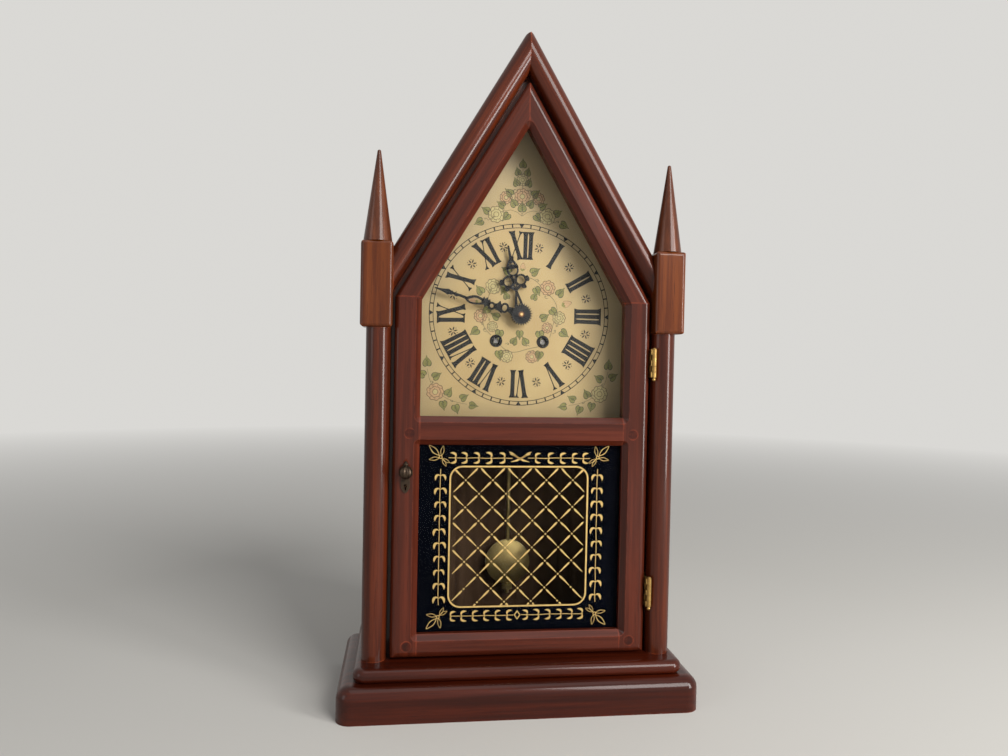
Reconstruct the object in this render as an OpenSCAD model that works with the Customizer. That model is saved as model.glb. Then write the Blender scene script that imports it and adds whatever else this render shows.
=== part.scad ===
// Steeple shelf clock: a pointed mahogany case on a stepped base, with two columns, two
// spires and a glazed door, round an eight-day movement that strikes on gong rods.
// Millimetres. X points right, Y to the back, Z up. The origin is the middle of the
// underside of the base. Every piece is drawn in its own place, with the door shut.

/* [Base] */
// How far the lower base stands out past the case on each side
base_overhang = 18.1; // [10:0.1:40]
// How far the lower base stands out in front of the case
base_front = 41.25; // [36:0.25:80]
// Height of the lower base
base_h = 25.4; // [14:0.1:60]
// Round on the top edges of the lower base
base_round = 9; // [1:0.5:9]
// Round on the corners of the lower base, seen from above
base_corner = 11; // [9.5:0.5:20]
// How far the upper base stands out past the case on each side
step_overhang = 7; // [2:0.25:16]
// Setback of the upper base from the front of the lower base
step_setback = 7.5; // [2:0.5:12]
// Thickness of the upper base
step_h = 10.5; // [6:0.5:16]
// Round on the front corners of the upper base, seen from above
step_corner = 9; // [8.5:0.5:14]

/* [Case] */
// Width over the side boards
case_w = 234; // [200:1:320]
// Room between the gong rods and the back board
gong_room = 3.65; // [2:0.05:40]
// Thickness of the side boards
board_t = 12; // [8:0.5:18]
// Thickness of the frame that the door shuts against
frame_t = 14; // [10:0.5:20]
// Width of that frame's strips
frame_w = 13; // [8:0.5:20]
// Thickness of the back board
back_t = 6; // [4:0.5:10]
// Width of the rabbet that holds the back board
back_rabbet = 6; // [3:0.5:9]
// Overall height, to the rounded top of the gable
apex_z = 508.7; // [470:0.1:640]
// Round on the top of the gable
gable_round = 5; // [1:0.5:6]
// Slope of the gable, measured from upright
gable_angle = 30.6; // [26:0.1:40]
// Thickness of the roof boards
roof_t = 17; // [10:0.5:24]
// How far the roof moulding stands out in front of the case
roof_front = 16.9; // [10:0.1:24]

/* [Columns and spires] */
// How far the centre of a column lies inside the outer face of the case
column_inset = 7.4; // [2:0.1:20]
// Diameter of a column
column_d = 18.5; // [12:0.5:24]
// How far the middle of a block lies inside the outer face of the case
block_inset = 5.8; // [2:0.1:14]
// Width of the block on a column
block_w = 23.6; // [18:0.1:30]
// Depth of the block
block_d = 22; // [18:0.5:30]
// How far the block hangs below the roof moulding that meets it
block_below = 27.8; // [5:0.1:60]
// How far the block rises above that moulding
block_above = 2; // [0.5:0.1:30]
// Round on the edges of the block
block_round = 3; // [1:0.5:5]
// Diameter of the foot of a spire
spire_d = 21.5; // [10:0.5:21.5]
// Height of a spire
spire_h = 67.9; // [40:0.1:120]

/* [Door] */
// Gap between the door and the blocks beside it
door_side_gap = 1.6; // [1.5:0.1:5]
// Upright gap between the door and the roof
door_top_gap = 7.16; // [2:0.01:10]
// Gap under the door
door_bottom_gap = 1.2; // [1:0.1:6]
// Gap between the shut door and the case
door_back_gap = 0.5; // [0.3:0.1:1]
// Thickness of the door
door_t = 16; // [14:0.5:20]
// Width of the upright stiles
stile_w = 19.85; // [14:0.05:26]
// Width of the sloping rafters
rafter_w = 18.05; // [12:0.05:26]
// Width of the bottom rail
bottom_rail_w = 17.3; // [12:0.1:30]
// Width of the middle rail
middle_rail_w = 21.3; // [12:0.1:30]
// Round on the outer front edges
door_round = 5; // [1:0.5:7]
// Round on the lower corners, seen from the front
door_corner = 3.5; // [1:0.5:6]
// Bevel on the inner front edges
inner_bevel = 4.2; // [1:0.1:6]
// Thickness of the glass
glass_t = 2; // [1.5:0.25:3]
// Diameter of the pegs that pin the tenons
peg_d = 7.5; // [4:0.5:9]
// Diameter of the hinge barrels
hinge_d = 4; // [3.6:0.1:4.6]
// Length of the hinge barrels
hinge_l = 21.5; // [18:0.5:40]
// Width of the latch knob
knob_d = 9.5; // [6:0.5:12]

/* [Dial and hands] */
// How far the centre of the dial lies below the door's shoulders
dial_drop = 9.6; // [0:0.1:30]
// Upright distance from the centre of the dial to the middle rail
dial_to_rail = 79.3; // [74:0.1:110]
// Thickness of the painted dial sheet
sheet_t = 0.8; // [0.5:0.1:1.5]
// Thickness of the board behind it
dial_board_t = 6; // [4:0.5:9]
// Length of the minute hand
minute_l = 70.6; // [50:0.1:72]
// Length of the hour hand
hour_l = 55; // [42:0.1:60]
// Minutes past the hour that the hands show
minutes_shown = 47.6; // [0:0.1:59.9]
// Angle of the hour hand, clockwise from twelve
hour_angle = -11.5; // [-180:0.5:180]

/* [Movement] */
// Width of the brass plates
plate_w = 88; // [84:1:110]
// Thickness of the brass plates
plate_t = 1.5; // [1:0.1:2.5]
// Distance between the plates
plate_gap = 21.5; // [21.5:0.1:30]
// Distance from the dial board to the front plate
spacer_l = 6; // [6:0.1:12]
// Distance of the winding arbors from the centre line
winding_x = 18.75; // [18.75:0.05:20]
// Distance of the winding arbors below the centre of the dial
winding_drop = 21; // [20:0.1:22]
// Thickness of the wheels
wheel_t = 1.2; // [0.8:0.1:1.4]
// Diameter of the wheel arbors
arbor_d = 2; // [1.6:0.1:2]
// Diameter of the pivots on the arbors
pivot_d = 1.2; // [0.8:0.1:1.6]
// Diameter of the winding arbors
barrel_arbor_d = 4.4; // [3.6:0.1:5]
// Diameter of the pendulum bob
bob_d = 38; // [30:0.5:44]
// Thickness of the pendulum bob
bob_t = 10; // [6:0.5:14]
// Diameter of the pendulum rod
rod_d = 3.3; // [2:0.1:4]
// Height of the middle of the bob above the upper base
bob_height = 53.8; // [44:0.1:72]

/* [Hidden] */
$fn = 64;

run_fit = 0.05;   // clearance of a shaft in its bearing, on the radius
soft_fit = 0.3;   // clearance of a pane or a sheet in its frame
cut = 1;          // how far a cutter reaches past the wood

// Case, from the back forwards and from the table upwards. Its depth is the depth of what
// it holds: frame, dial, movement, pendulum, gong rods and back board.
gong_r = 1.5;
rod_behind = 8.1;    // from the back plate to the middle of the pendulum rod
gong_behind = 3.5;   // from there to the middle of the rear gong rod
case_d = frame_t + sheet_t + dial_board_t + spacer_l + 2 * plate_t + plate_gap
  + rod_behind + gong_behind + gong_r + gong_room + back_t;
base_d = case_d + base_front;
base_w = case_w + 2 * base_overhang;
step_w = case_w + 2 * step_overhang;
back_y = base_d / 2;
front_y = -base_d / 2;
case_y = back_y - case_d;
step_y = front_y + step_setback;
step_top = base_h + step_h;
side_x = case_w / 2;
inner_x = side_x - board_t;
back_in = back_y - back_t;
frame_back = case_y + frame_t;
frame_x = inner_x - frame_w;
sill_z = step_top + 8;

// The gable's slope: heights of its outer and inner faces at a distance x from the middle
slope = 1 / tan(gable_angle);
ridge_z = apex_z + gable_round * (1 / sin(gable_angle) - 1);
inner_apex_z = ridge_z - roof_t / sin(gable_angle);
function roof_out(x) = ridge_z - x * slope;
function roof_in(x) = inner_apex_z - x * slope;

block_x = side_x - block_inset;
block_in = block_x - block_w / 2;
column_x = max(side_x - column_inset, block_in + column_d / 2 + 0.8);
block_y = case_y - block_d;
block_z = roof_in(block_in) - block_below;
block_top = roof_out(block_in) + block_above;
column_y = case_y - column_d / 2 - run_fit;
tenon_d = 8;
tenon_l = 8;

// Door
door_half = block_in - door_side_gap;
door_back = case_y - door_back_gap;
door_y = door_back - door_t;
door_z = step_top + door_bottom_gap;
shoulder_z = roof_in(door_half) - door_top_gap;
door_apex = shoulder_z + door_half * slope;
open_half = door_half - stile_w;
open_apex = door_apex - rafter_w / sin(gable_angle);
bottom_rail_z = door_z + bottom_rail_w;
dial_z = shoulder_z - dial_drop;
rail_top = dial_z - dial_to_rail;
rail_z = rail_top - middle_rail_w;
rabbet_w = 6;
rabbet_d = 8;
rabbet_y = door_back - rabbet_d;
bead_w = 5;
door_tenon_l = 14;
door_tenon_y = door_y + 2.5;
door_tenon_t = 4.5;
peg_x = open_half + 7.5;
peg_zs = [door_z + 0.55 * bottom_rail_w, rail_z + 0.41 * middle_rail_w];
door_tip = [for (a = [gable_angle, 45, 60, 75, 90])
  [2.5 * cos(a), door_apex + 2.5 * (sin(a) - 1 / sin(gable_angle))]];

// Hinges: the axis runs upright beside the door, just in front of it
leaf_t = 0.8;
pin_d = 2;
hinge_x = door_half + 2.5;
hinge_y = door_y - 1.6;
hinge_zs = [shoulder_z - 46, door_z + 47.3];
knuckle_gap = 0.2;
knuckle_l = (hinge_l - 4 * knuckle_gap) / 5;
case_leaf_x = door_half + leaf_t + 0.5;
case_leaf_t = 1;
leaf_reach = hinge_y + 2.5;

// Latch
latch_x = -open_half - stile_w / 2;
latch_z = rail_z - 19.6;
spindle_d = 3.6;
plate_h = 1;
cam_y = case_y + 1.6;
cam_t = 2;
cam_w = 5;
cam_l = 8;

// Dial and motion work
centre = [0, dial_z];
dial_y = frame_back;
board_y = dial_y + sheet_t;
board_back = board_y + dial_board_t;
plate_y = board_back + spacer_l;
level = plate_y + plate_t;
rear_y = level + plate_gap;
rear_back = rear_y + plate_t;
dial_z0 = rail_top - 13.7;
arbor_r = arbor_d / 2;
pivot_r = pivot_d / 2;
barrel_arbor_r = barrel_arbor_d / 2;
cannon_r = arbor_r + 1.2;
hour_pipe_r = cannon_r + 1;
hour_hand_y = dial_y - 3.6;
minute_hand_y = hour_hand_y - 3;
hand_t = 0.8;
collar_r = 8.5;
grommet_r = 5;

// Wheels: tooth counts and modules of each pair, and the distance between their arbors
barrel_n = 72;     barrel_m = 0.5;
second_pinion_n = 12;
second_n = 72;     second_m = 0.42;
centre_pinion_n = 12;
centre_n = 80;     centre_m = 0.38;
third_n = 72;      third_m = 0.35;
leaf_n = 8;
escape_n = 40;     escape_r = 9.5;
strike_n = 72;     strike_m = 0.4;
strike_third_n = 60;
cannon_n = 12;     minute_n = 36;     motion_m = 0.5;
minute_pinion_n = 10;  hour_n = 40;   hour_m = 0.48;
function apart(a, b, m) = (a + b) * m / 2;
// A point at the distance a from p and b from q, to the left of the line p-q or, with -1, right
function meet(p, a, q, b, side) =
  let (d = norm(q - p), e = (a * a - b * b + d * d) / (2 * d), u = (q - p) / d)
  p + e * u + side * sqrt(a * a - e * e) * [-u.y, u.x];
function aim(p, q) = atan2(q.y - p.y, q.x - p.x);
// Turn of gear b that puts a gap of b where gear a, turned by 0, has a tooth
function mesh(p, q, na, nb) = aim(p, q) + 180 + (aim(p, q) * na - 180) / nb;

time_barrel_p = centre + [winding_x, -winding_drop];
strike_barrel_p = centre + [-winding_x, -winding_drop];
escape_p = centre + [0, 28];
anchor_p = centre + [0, 40];
second_p = meet(time_barrel_p, apart(barrel_n, second_pinion_n, barrel_m),
  centre, apart(second_n, centre_pinion_n, second_m), -1);
third_p = meet(centre, apart(centre_n, leaf_n, centre_m),
  escape_p, apart(third_n, leaf_n, third_m), -1);
motion_p = centre - [0, apart(cannon_n, minute_n, motion_m)];
strike_second_p = strike_barrel_p
  + apart(barrel_n, second_pinion_n, barrel_m) * [cos(104.5), sin(104.5)];
strike_third_p = strike_second_p + apart(strike_n, leaf_n, strike_m) * [cos(65), sin(65)];
fly_p = strike_third_p + apart(strike_third_n, leaf_n, third_m) * [cos(100), sin(100)];
hammer_p = centre + [-38, 8];
pillar_ps = [for (x = [-1, 1], z = [-42, 48]) centre + [x * (plate_w / 2 - 6), z]];
neck_r = 1.5;
star_r = 4;
drum_r = 16.5;
drum_wall = 0.8;
drum_level = 5.3;
rim_level = 17.3;
drum_end = 19.1;
hub_r = 4.6;
ratchet_r = 7.5;

// Pendulum and gong, behind the plates
pendulum_y = rear_back + rod_behind;
cock_y = rear_back + 3.6;
cock_t = 1.5;
bob_z = step_top + bob_height;
pendulum_l = anchor_p.y - bob_z;
nut_h = 4;
nut_r = 4.5;
gong_x = -64;
gong_ys = [pendulum_y - 2.5, pendulum_y + gong_behind];
gong_top = dial_z + 20;
gong_l = 228;
head_r = 3.5;
screw_r = 1.6;

wood = [0.42, 0.17, 0.09];
door_wood = [0.38, 0.12, 0.07];
brass = [0.80, 0.65, 0.32];
steel = [0.60, 0.61, 0.63];
black = [0.09, 0.08, 0.08];

// ---- Shapes that many pieces share ----

// A drawing seen from the front, x across and y up, as a slab from y0 back to y1
module slab(y0, y1) translate([0, y1, 0]) rotate([90, 0, 0]) linear_extrude(y1 - y0) children();

// A round bar along Y through the point p of the front view
module bar(p, y0, y1, r) translate([p.x, y0, p.y]) rotate([-90, 0, 0]) cylinder(r = r, h = y1 - y0);

// What a rounding bit takes off a corner at p; turn 0 is the corner at the bottom left
module nick(p, r, turn) translate(p) rotate(90 * turn) difference() {
  translate([-cut, -cut]) square(r + cut);
  translate([r, r]) circle(r);
}

// A rectangle from a to b with rounded corners, named from the bottom left anticlockwise
module rounded(a, b, r, corners = [1, 1, 1, 1]) difference() {
  translate(a) square(b - a);
  if (corners[0]) nick(a, r, 0);
  if (corners[1]) nick([b.x, a.y], r, 1);
  if (corners[2]) nick(b, r, 2);
  if (corners[3]) nick([a.x, b.y], r, 3);
}

// A routed round along a front edge from a to b, with the wood on the right of that line
module edge(a, b, r = door_round) translate([a.x, door_y, a.y])
  rotate([0, atan2(b.x - a.x, b.y - a.y), 0]) linear_extrude(norm(b - a)) nick([0, 0], r, 0);

// A routed bevel along a front edge, in the same way
module bevel(a, b) translate([a.x, door_y, a.y])
  rotate([0, atan2(b.x - a.x, b.y - a.y), 0]) linear_extrude(norm(b - a))
    polygon([[-cut, -cut], [inner_bevel + cut, -cut], [-cut, inner_bevel + cut]]);

// Where two bevels meet, the bit turns round the corner of the opening
module bevel_corners(ps) for (p = ps) translate([p.x, door_y - cut, p.y]) rotate([-90, 0, 0])
  cylinder(r1 = inner_bevel + cut - 0.04, r2 = 0.04, h = inner_bevel + cut - 0.08);

// A five-sided house outline under the gable's slope
function house(half, z, top) = [[-half, z], [half, z], [half, top - half * slope], [0, top],
  [-half, top - half * slope]];

// Toothed outline: n teeth of module m, each taking the share of the pitch at its middle
module teeth(n, m, turn = 0, share = 0.38, tip = 1, root = 1.25) {
  r = n * m / 2;
  half = share * 180 / n;
  marks = [[r - root * m, -1.15], [r, -1], [r + tip * m, -0.4], [r + tip * m, 0.4], [r, 1],
    [r - root * m, 1.15]];
  polygon([for (i = [0:n - 1], k = marks) let (a = turn + i * 360 / n + k.y * half)
    k.x * [cos(a), sin(a)]]);
}

// A wheel at p between two levels behind the front plate, with five spokes
module wheel(p, n, m, at, thick = wheel_t) {
  rim = n * m / 2 - 1.25 * m - 1.4;
  translate([p.x, 0, p.y]) slab(level + at, level + at + thick) difference() {
    teeth(n, m);
    for (i = [0:4]) rotate(72 * i + 36) intersection() {
      difference() { circle(rim); circle(hub_for(rim)); }
      polygon([[2.2, 0], [rim * 2, -rim * 1.28], [rim * 2, rim * 1.28]]);
    }
  }
}
function hub_for(rim) = max(3, rim * 0.3);

// A pinion of few leaves, phased to the wheel at q that drives it
module pinion(p, q, n, m, nq, at, long) translate([p.x, 0, p.y])
  slab(level + at, level + at + long) teeth(n, m, mesh(q, p, nq, n), 0.34, 0.8, 1.3);

// An arbor between the plates, with a pivot in each
module arbor(p, front = true, rear = true) {
  bar(p, level + 0.3, rear_y - 0.3, arbor_r);
  if (front) bar(p, plate_y - 0.2, level + 0.4, pivot_r);
  if (rear) bar(p, rear_y - 0.4, rear_back + 0.2, pivot_r);
}

// ---- Case ----

// A slab whose edge profile runs along the front and both sides, and round the front
// corners. The rounds are named as for rounded(), with the front on the left.
module base_slab(w, y0, z0, h, r, corner, low) {
  x = w / 2 - corner;
  for (side = [-1, 1]) translate([side * x, y0 + corner, z0]) rotate_extrude()
    rounded([0, 0], [corner, h], r, [0, low, 1, 0]);
  slab(y0 + corner, back_y) rounded([-w / 2, z0], [w / 2, z0 + h], r, [low, low, 1, 1]);
  translate([-x, 0, 0]) rotate([90, 0, 90]) linear_extrude(2 * x)
    rounded([y0, z0], [y0 + 2 * corner, z0 + h], r, [low, 0, 0, 1]);
}

module lower_base() color(wood)
  base_slab(base_w, front_y, 0, base_h, base_round, base_corner, 0);

module upper_base() color(wood) difference() {
  base_slab(step_w, step_y, base_h, step_h, step_h / 2 - 0.05, step_corner, 1);
  for (x = [-column_x, column_x]) translate([x, column_y, step_top - tenon_l])
    cylinder(d = tenon_d, h = tenon_l + cut);
}

// Side boards stand on the upper base and are bevelled under the roof
module side_board(side) color(wood) difference() {
  slab(case_y, back_y) polygon([[side * inner_x, step_top], [side * side_x, step_top],
    [side * side_x, roof_in(side_x)], [side * inner_x, roof_in(inner_x)]]);
  slab(back_in, back_y + cut) polygon(house(inner_x + back_rabbet, step_top - cut, back_apex()));
  back_screw_shanks();
}
module left_side() side_board(-1);
module right_side() side_board(1);
function back_apex() = inner_apex_z + back_rabbet / sin(gable_angle);

// What rounds off a point under the gable's slope whose sides would meet at the height z
module tip(z, r) translate([0, z - r / sin(gable_angle)]) difference() {
  out = [cos(gable_angle), sin(gable_angle)];
  mirrored = [-out.x, out.y];
  polygon([r * out, (r + cut) * out, [0, r / out.y + 2 * cut], (r + cut) * mirrored, r * mirrored]);
  circle(r);
}

// Roof boards meet in a mitre, and their round fronts die into the blocks
module roof_board(side) color(wood) difference() {
  intersection() {
    union() {
      translate([0, 0, ridge_z]) rotate([0, side > 0 ? 90 - gable_angle : -90 + gable_angle, 0]) {
        translate([side > 0 ? -40 : -side_x / sin(gable_angle) - 10,
          case_y - roof_front + roof_t / 2, -roof_t])
          cube([side_x / sin(gable_angle) + 50, case_d + roof_front - roof_t / 2, roof_t]);
        translate([side > 0 ? -40 : -side_x / sin(gable_angle) - 10,
          case_y - roof_front + roof_t / 2, -roof_t / 2])
          rotate([0, 90, 0]) cylinder(d = roof_t, h = side_x / sin(gable_angle) + 50);
      }
    }
    union() {
      slab(case_y - roof_front - cut, case_y) polygon([[0, 0], [side * block_in, 0],
        [side * block_in, ridge_z + cut], [0, ridge_z + cut]]);
      slab(case_y, back_y) polygon([[0, 0], [side * side_x, 0],
        [side * side_x, ridge_z + cut], [0, ridge_z + cut]]);
    }
  }
  slab(case_y - roof_front - cut, back_y + cut) tip(ridge_z, gable_round);
  slab(back_in, back_y + cut) polygon(house(inner_x + back_rabbet, step_top - cut, back_apex()));
  back_screw_shanks();
}
module left_roof() roof_board(-1);
module right_roof() roof_board(1);

// The back board lies in a rabbet and is held by screws all round
screw_x = inner_x + back_rabbet / 2;
back_screw_ps = concat([for (s = [-1, 1], z = [0.15, 0.5, 0.85])
    [s * screw_x, step_top + z * (roof_in(side_x) - step_top)]],
  [for (s = [-1, 1], x = [0.3, 0.72]) [s * x * inner_x,
    roof_in(x * inner_x) + back_rabbet / 2 / sin(gable_angle)]]);
module back_screw_shanks() for (p = back_screw_ps) bar(p, back_y - 18, back_y, screw_r);
screw_head_r = back_rabbet / 2 - 0.2;
module screw_head(p) translate([p.x, back_y - 1.4, p.y]) rotate([-90, 0, 0])
  cylinder(r1 = screw_r, r2 = screw_head_r, h = 1.4);

module back_board() color(wood) difference() {
  slab(back_in, back_y) polygon(house(inner_x + back_rabbet, step_top, back_apex()));
  back_screw_shanks();
  for (p = back_screw_ps) screw_head(p);
}

module back_screws() color(steel) difference() {
  union() {
    back_screw_shanks();
    for (p = back_screw_ps) screw_head(p);
  }
  for (p = back_screw_ps) translate([p.x - 4, back_y - 0.7, p.y - 0.3]) cube([8, 2, 0.6]);
}

// Columns stand on the upper base and carry the blocks, each held by a turned tenon
module column(side) color(wood) translate([side * column_x, column_y, 0]) {
  translate([0, 0, step_top]) cylinder(d = column_d, h = block_z - step_top);
  translate([0, 0, step_top - tenon_l]) cylinder(d = tenon_d, h = block_z - step_top + 2 * tenon_l);
}
module left_column() column(-1);
module right_column() column(1);

module pinnacle(side) color(wood) {
  x = side * block_x;
  y = block_y + block_d / 2;
  difference() {
    intersection() {
      translate([0, 0, block_z]) linear_extrude(block_top - block_z)
        rounded([x - block_w / 2, block_y], [x + block_w / 2, case_y], block_round, [1, 1, 0, 0]);
      slab(block_y, case_y) rounded([x - block_w / 2, block_z], [x + block_w / 2, block_top], block_round);
      translate([x - block_w / 2, 0, 0]) rotate([90, 0, 90]) linear_extrude(block_w)
        rounded([block_y, block_z], [case_y, block_top], block_round, [1, 0, 0, 1]);
    }
    translate([side * column_x, column_y, block_z - cut]) cylinder(d = tenon_d, h = tenon_l + cut);
    translate([x, y, block_top - tenon_l]) cylinder(d = tenon_d + 2 * run_fit, h = tenon_l + cut);
  }
  translate([x, y, block_top + run_fit]) spire();
}
module spire() {
  tip = 1.4;
  cylinder(r1 = spire_d / 2, r2 = tip, h = spire_h - tip);
  translate([0, 0, spire_h - tip]) sphere(tip);
  translate([0, 0, 1 - tenon_l]) cylinder(d = tenon_d, h = tenon_l);
}
module left_pinnacle() pinnacle(-1);
module right_pinnacle() pinnacle(1);

// The frame that the door shuts against, with the keeper and the hinges let in
module front_frame() color(wood) difference() {
  slab(case_y, frame_back) difference() {
    polygon(house(inner_x, step_top, inner_apex_z));
    polygon(house(frame_x, sill_z, inner_apex_z - frame_w / sin(gable_angle)));
  }
  keeper_plate();
  translate([-frame_x - 5.5, case_y + plate_h, latch_z - 8.3]) cube([6.5, 3.4, 13]);
  for (z = hinge_zs) {
    translate([case_leaf_x, case_y - cut, z - hinge_l / 2])
      cube([inner_x - case_leaf_x + cut, cut + case_leaf_t, hinge_l]);
    foot_screws(z, 6);
  }
}

module keeper_plate() translate([-frame_x - 6.5, case_y, latch_z - 11]) cube([6.5, plate_h, 20]);
module latch_keeper() color(brass) keeper_plate();

// ---- Dial and movement frame ----

module dial_board() color([0.62, 0.45, 0.28]) slab(board_y, board_back) difference() {
  polygon(house(inner_x - soft_fit, dial_z0, inner_apex_z - soft_fit / sin(gable_angle)));
  translate(centre) circle(hour_pipe_r + 1.5);
  for (p = [time_barrel_p, strike_barrel_p]) translate(p) circle(grommet_r - 1);
  for (p = pillar_ps) translate(p) circle(neck_r);
}

module dial_plate() color([0.85, 0.79, 0.62]) slab(dial_y, board_y) difference() {
  polygon(house(inner_x - soft_fit, dial_z0, inner_apex_z - soft_fit / sin(gable_angle)));
  translate(centre) circle(hour_pipe_r + 1.5);
  for (p = [time_barrel_p, strike_barrel_p]) translate(p) circle(grommet_r - 1);
}

module winding_grommets() color(black) for (p = [time_barrel_p, strike_barrel_p])
  translate([p.x, board_back, p.y]) rotate([90, 0, 0]) difference() {
    union() {
      cylinder(r = grommet_r - 1, h = board_back - dial_y);
      translate([0, 0, board_back - dial_y]) cylinder(r1 = grommet_r, r2 = grommet_r - 0.6, h = 0.9);
    }
    translate([0, 0, -cut]) cylinder(r = barrel_arbor_r + 1, h = board_back - dial_y + 3);
  }

module plate_outline() translate([0, dial_z]) difference() {
  rounded([-plate_w / 2, -48], [plate_w / 2, 54], 3);
  for (p = pillar_ps) translate(p - centre) circle(neck_r + run_fit);
}
module holes(ps, r) for (p = ps) translate(p) circle(r + run_fit);

module front_plate() color(brass) {
  slab(plate_y, level) difference() {
    plate_outline();
    holes([second_p, third_p, escape_p, anchor_p, strike_second_p, strike_third_p, fly_p,
      hammer_p], pivot_r);
    holes([centre], arbor_r);
    holes([time_barrel_p, strike_barrel_p], barrel_arbor_r);
  }
  bar(motion_p, board_back + 0.8, level, 1);
}

module back_plate() color(brass) slab(rear_y, rear_back) difference() {
  plate_outline();
  holes([centre, second_p, third_p, escape_p, strike_second_p, strike_third_p, fly_p], pivot_r);
  holes([anchor_p, hammer_p], arbor_r);
  holes([time_barrel_p, strike_barrel_p], barrel_arbor_r - 0.7);
}

// Pillars: a tube before the front plate, the pillar itself, and a nut on the back plate
module plate_pillars() color(brass) for (p = pillar_ps) {
  difference() {
    bar(p, board_back, plate_y, 3);
    bar(p, board_back - cut, plate_y + cut, neck_r + run_fit);
  }
  bar(p, board_y + 2, rear_back + 3, neck_r);
  bar(p, level, rear_y, 3);
  translate([p.x, rear_back, p.y]) rotate([-90, 0, 0]) difference() {
    cylinder(r = 3.2, h = 2.2, $fn = 6);
    translate([0, 0, -cut]) cylinder(r = neck_r + run_fit, h = 5);
  }
}

// Clicks: each leans at its ratchet wheel from a screw in the front plate
module clicks() color(steel) for (p = [time_barrel_p, strike_barrel_p]) {
  k = p + 11.6 * [cos(-62), sin(-62)];
  slab(plate_y - 2, plate_y - 0.6) {
    translate(k) circle(2);
    polygon([k + [-1.2, 1.6], k + [1.2, -1.6], k + [-4.2, -0.6],
      p + (ratchet_r + 0.35) * [cos(-92), sin(-92)]]);
  }
  bar(k, plate_y - 2.8, plate_y, 1.2);
  bar(k, plate_y - 2.8, plate_y - 2, 1.9);
}

// The cock carries the anchor's rear pivot and the pin that the pendulum hangs from
module suspension_cock() color(brass) {
  difference() {
    union() {
      slab(cock_y, cock_y + cock_t) rounded(anchor_p - [7, 6], anchor_p + [7, 14], 2);
      slab(rear_back, cock_y) translate(anchor_p + [-7, 8]) square([14, 6]);
    }
    bar(anchor_p, cock_y - cut, cock_y + cock_t - 0.2, pivot_r + run_fit);
  }
  bar(anchor_p, cock_y + cock_t, pendulum_y + 3, 1);
  bar(anchor_p, pendulum_y + 2, pendulum_y + 3, 2);
}

module gong_block() color(black) difference() {
  slab(gong_ys[0] - 3, back_in) rounded([gong_x - 8, gong_top], [gong_x + 8, gong_top + 16], 1.5);
  for (y = gong_ys) translate([gong_x, y, gong_top - cut]) cylinder(r = gong_r, h = 9);
}

module gong_rods() color(steel) for (y = gong_ys)
  translate([gong_x, y, gong_top + 8 - gong_l]) cylinder(r = gong_r, h = gong_l);

// ---- Door ----

module upper_opening(grow) polygon(house(open_half + grow, rail_top - grow,
  open_apex + grow / sin(gable_angle)));
module lower_opening(grow) translate([-open_half - grow, bottom_rail_z - grow])
  square([2 * (open_half + grow), rail_z - bottom_rail_z + 2 * grow]);
module rabbet() slab(rabbet_y, door_back + cut) {
  upper_opening(rabbet_w);
  lower_opening(rabbet_w);
}
function open_x(z) = (open_apex - z) * tan(gable_angle);

function open_shoulder() = [open_half, open_apex - open_half * slope];
function flip(p, side) = [side * p.x, p.y];

module stile(side) color(door_wood) difference() {
  slab(door_y, door_back) polygon([[side * open_half, door_z], [side * door_half, door_z],
    [side * door_half, shoulder_z], [side * open_x(shoulder_z), shoulder_z],
    flip(open_shoulder(), side)]);
  rabbet();
  slab(door_y - cut, door_back + cut) nick([side * door_half, door_z], door_corner, side > 0 ? 1 : 0);
  foot = [side * (door_half + cut), door_z];
  inside = [side * (open_half - cut), door_z];
  outer = [[side * door_half, shoulder_z], [side * door_half, door_z - cut]];
  lower = [[side * open_half, bottom_rail_z], [side * open_half, rail_z]];
  upper = [[side * open_half, rail_top], flip(open_shoulder(), side)];
  if (side > 0) {
    edge(outer[0], outer[1]);
    edge(foot, inside);
    bevel(lower[0], lower[1]);
    bevel(upper[0], upper[1]);
  } else {
    edge(outer[1], outer[0]);
    edge(inside, foot);
    bevel(lower[1], lower[0]);
    bevel(upper[1], upper[0]);
  }
  bevel_corners(concat(lower, upper));
  for (z = [door_z + 3, rail_z + 3]) slab(door_tenon_y, door_tenon_y + door_tenon_t)
    translate([side > 0 ? open_half - cut : -open_half - door_tenon_l, z])
      square([door_tenon_l + cut, (z < rail_z ? bottom_rail_w : middle_rail_w) - 6]);
  pegs();
}
module door_left_stile() difference() {
  stile(-1);
  bar([latch_x, latch_z], door_y - cut, door_back + cut, spindle_d / 2 + run_fit);
  color(door_wood) slab(door_y - cut, door_back + cut) keyhole();
}
module door_right_stile() difference() {
  stile(1);
  for (z = hinge_zs) door_leaf_screws(z);
}

module rail(z, w) color(door_wood) difference() {
  union() {
    slab(door_y, door_back) translate([-open_half, z]) square([2 * open_half, w]);
    slab(door_tenon_y, door_tenon_y + door_tenon_t)
      translate([-open_half - door_tenon_l, z + 3]) square([2 * (open_half + door_tenon_l), w - 6]);
  }
  rabbet();
  bevel([-open_half - cut, z + w], [open_half + cut, z + w]);
  if (z == door_z) edge([open_half + cut, z], [-open_half - cut, z]);
  else bevel([open_half + cut, z], [-open_half - cut, z]);
  pegs();
}
module door_bottom_rail() rail(door_z, bottom_rail_w);
module door_middle_rail() rail(rail_z, middle_rail_w);

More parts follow.
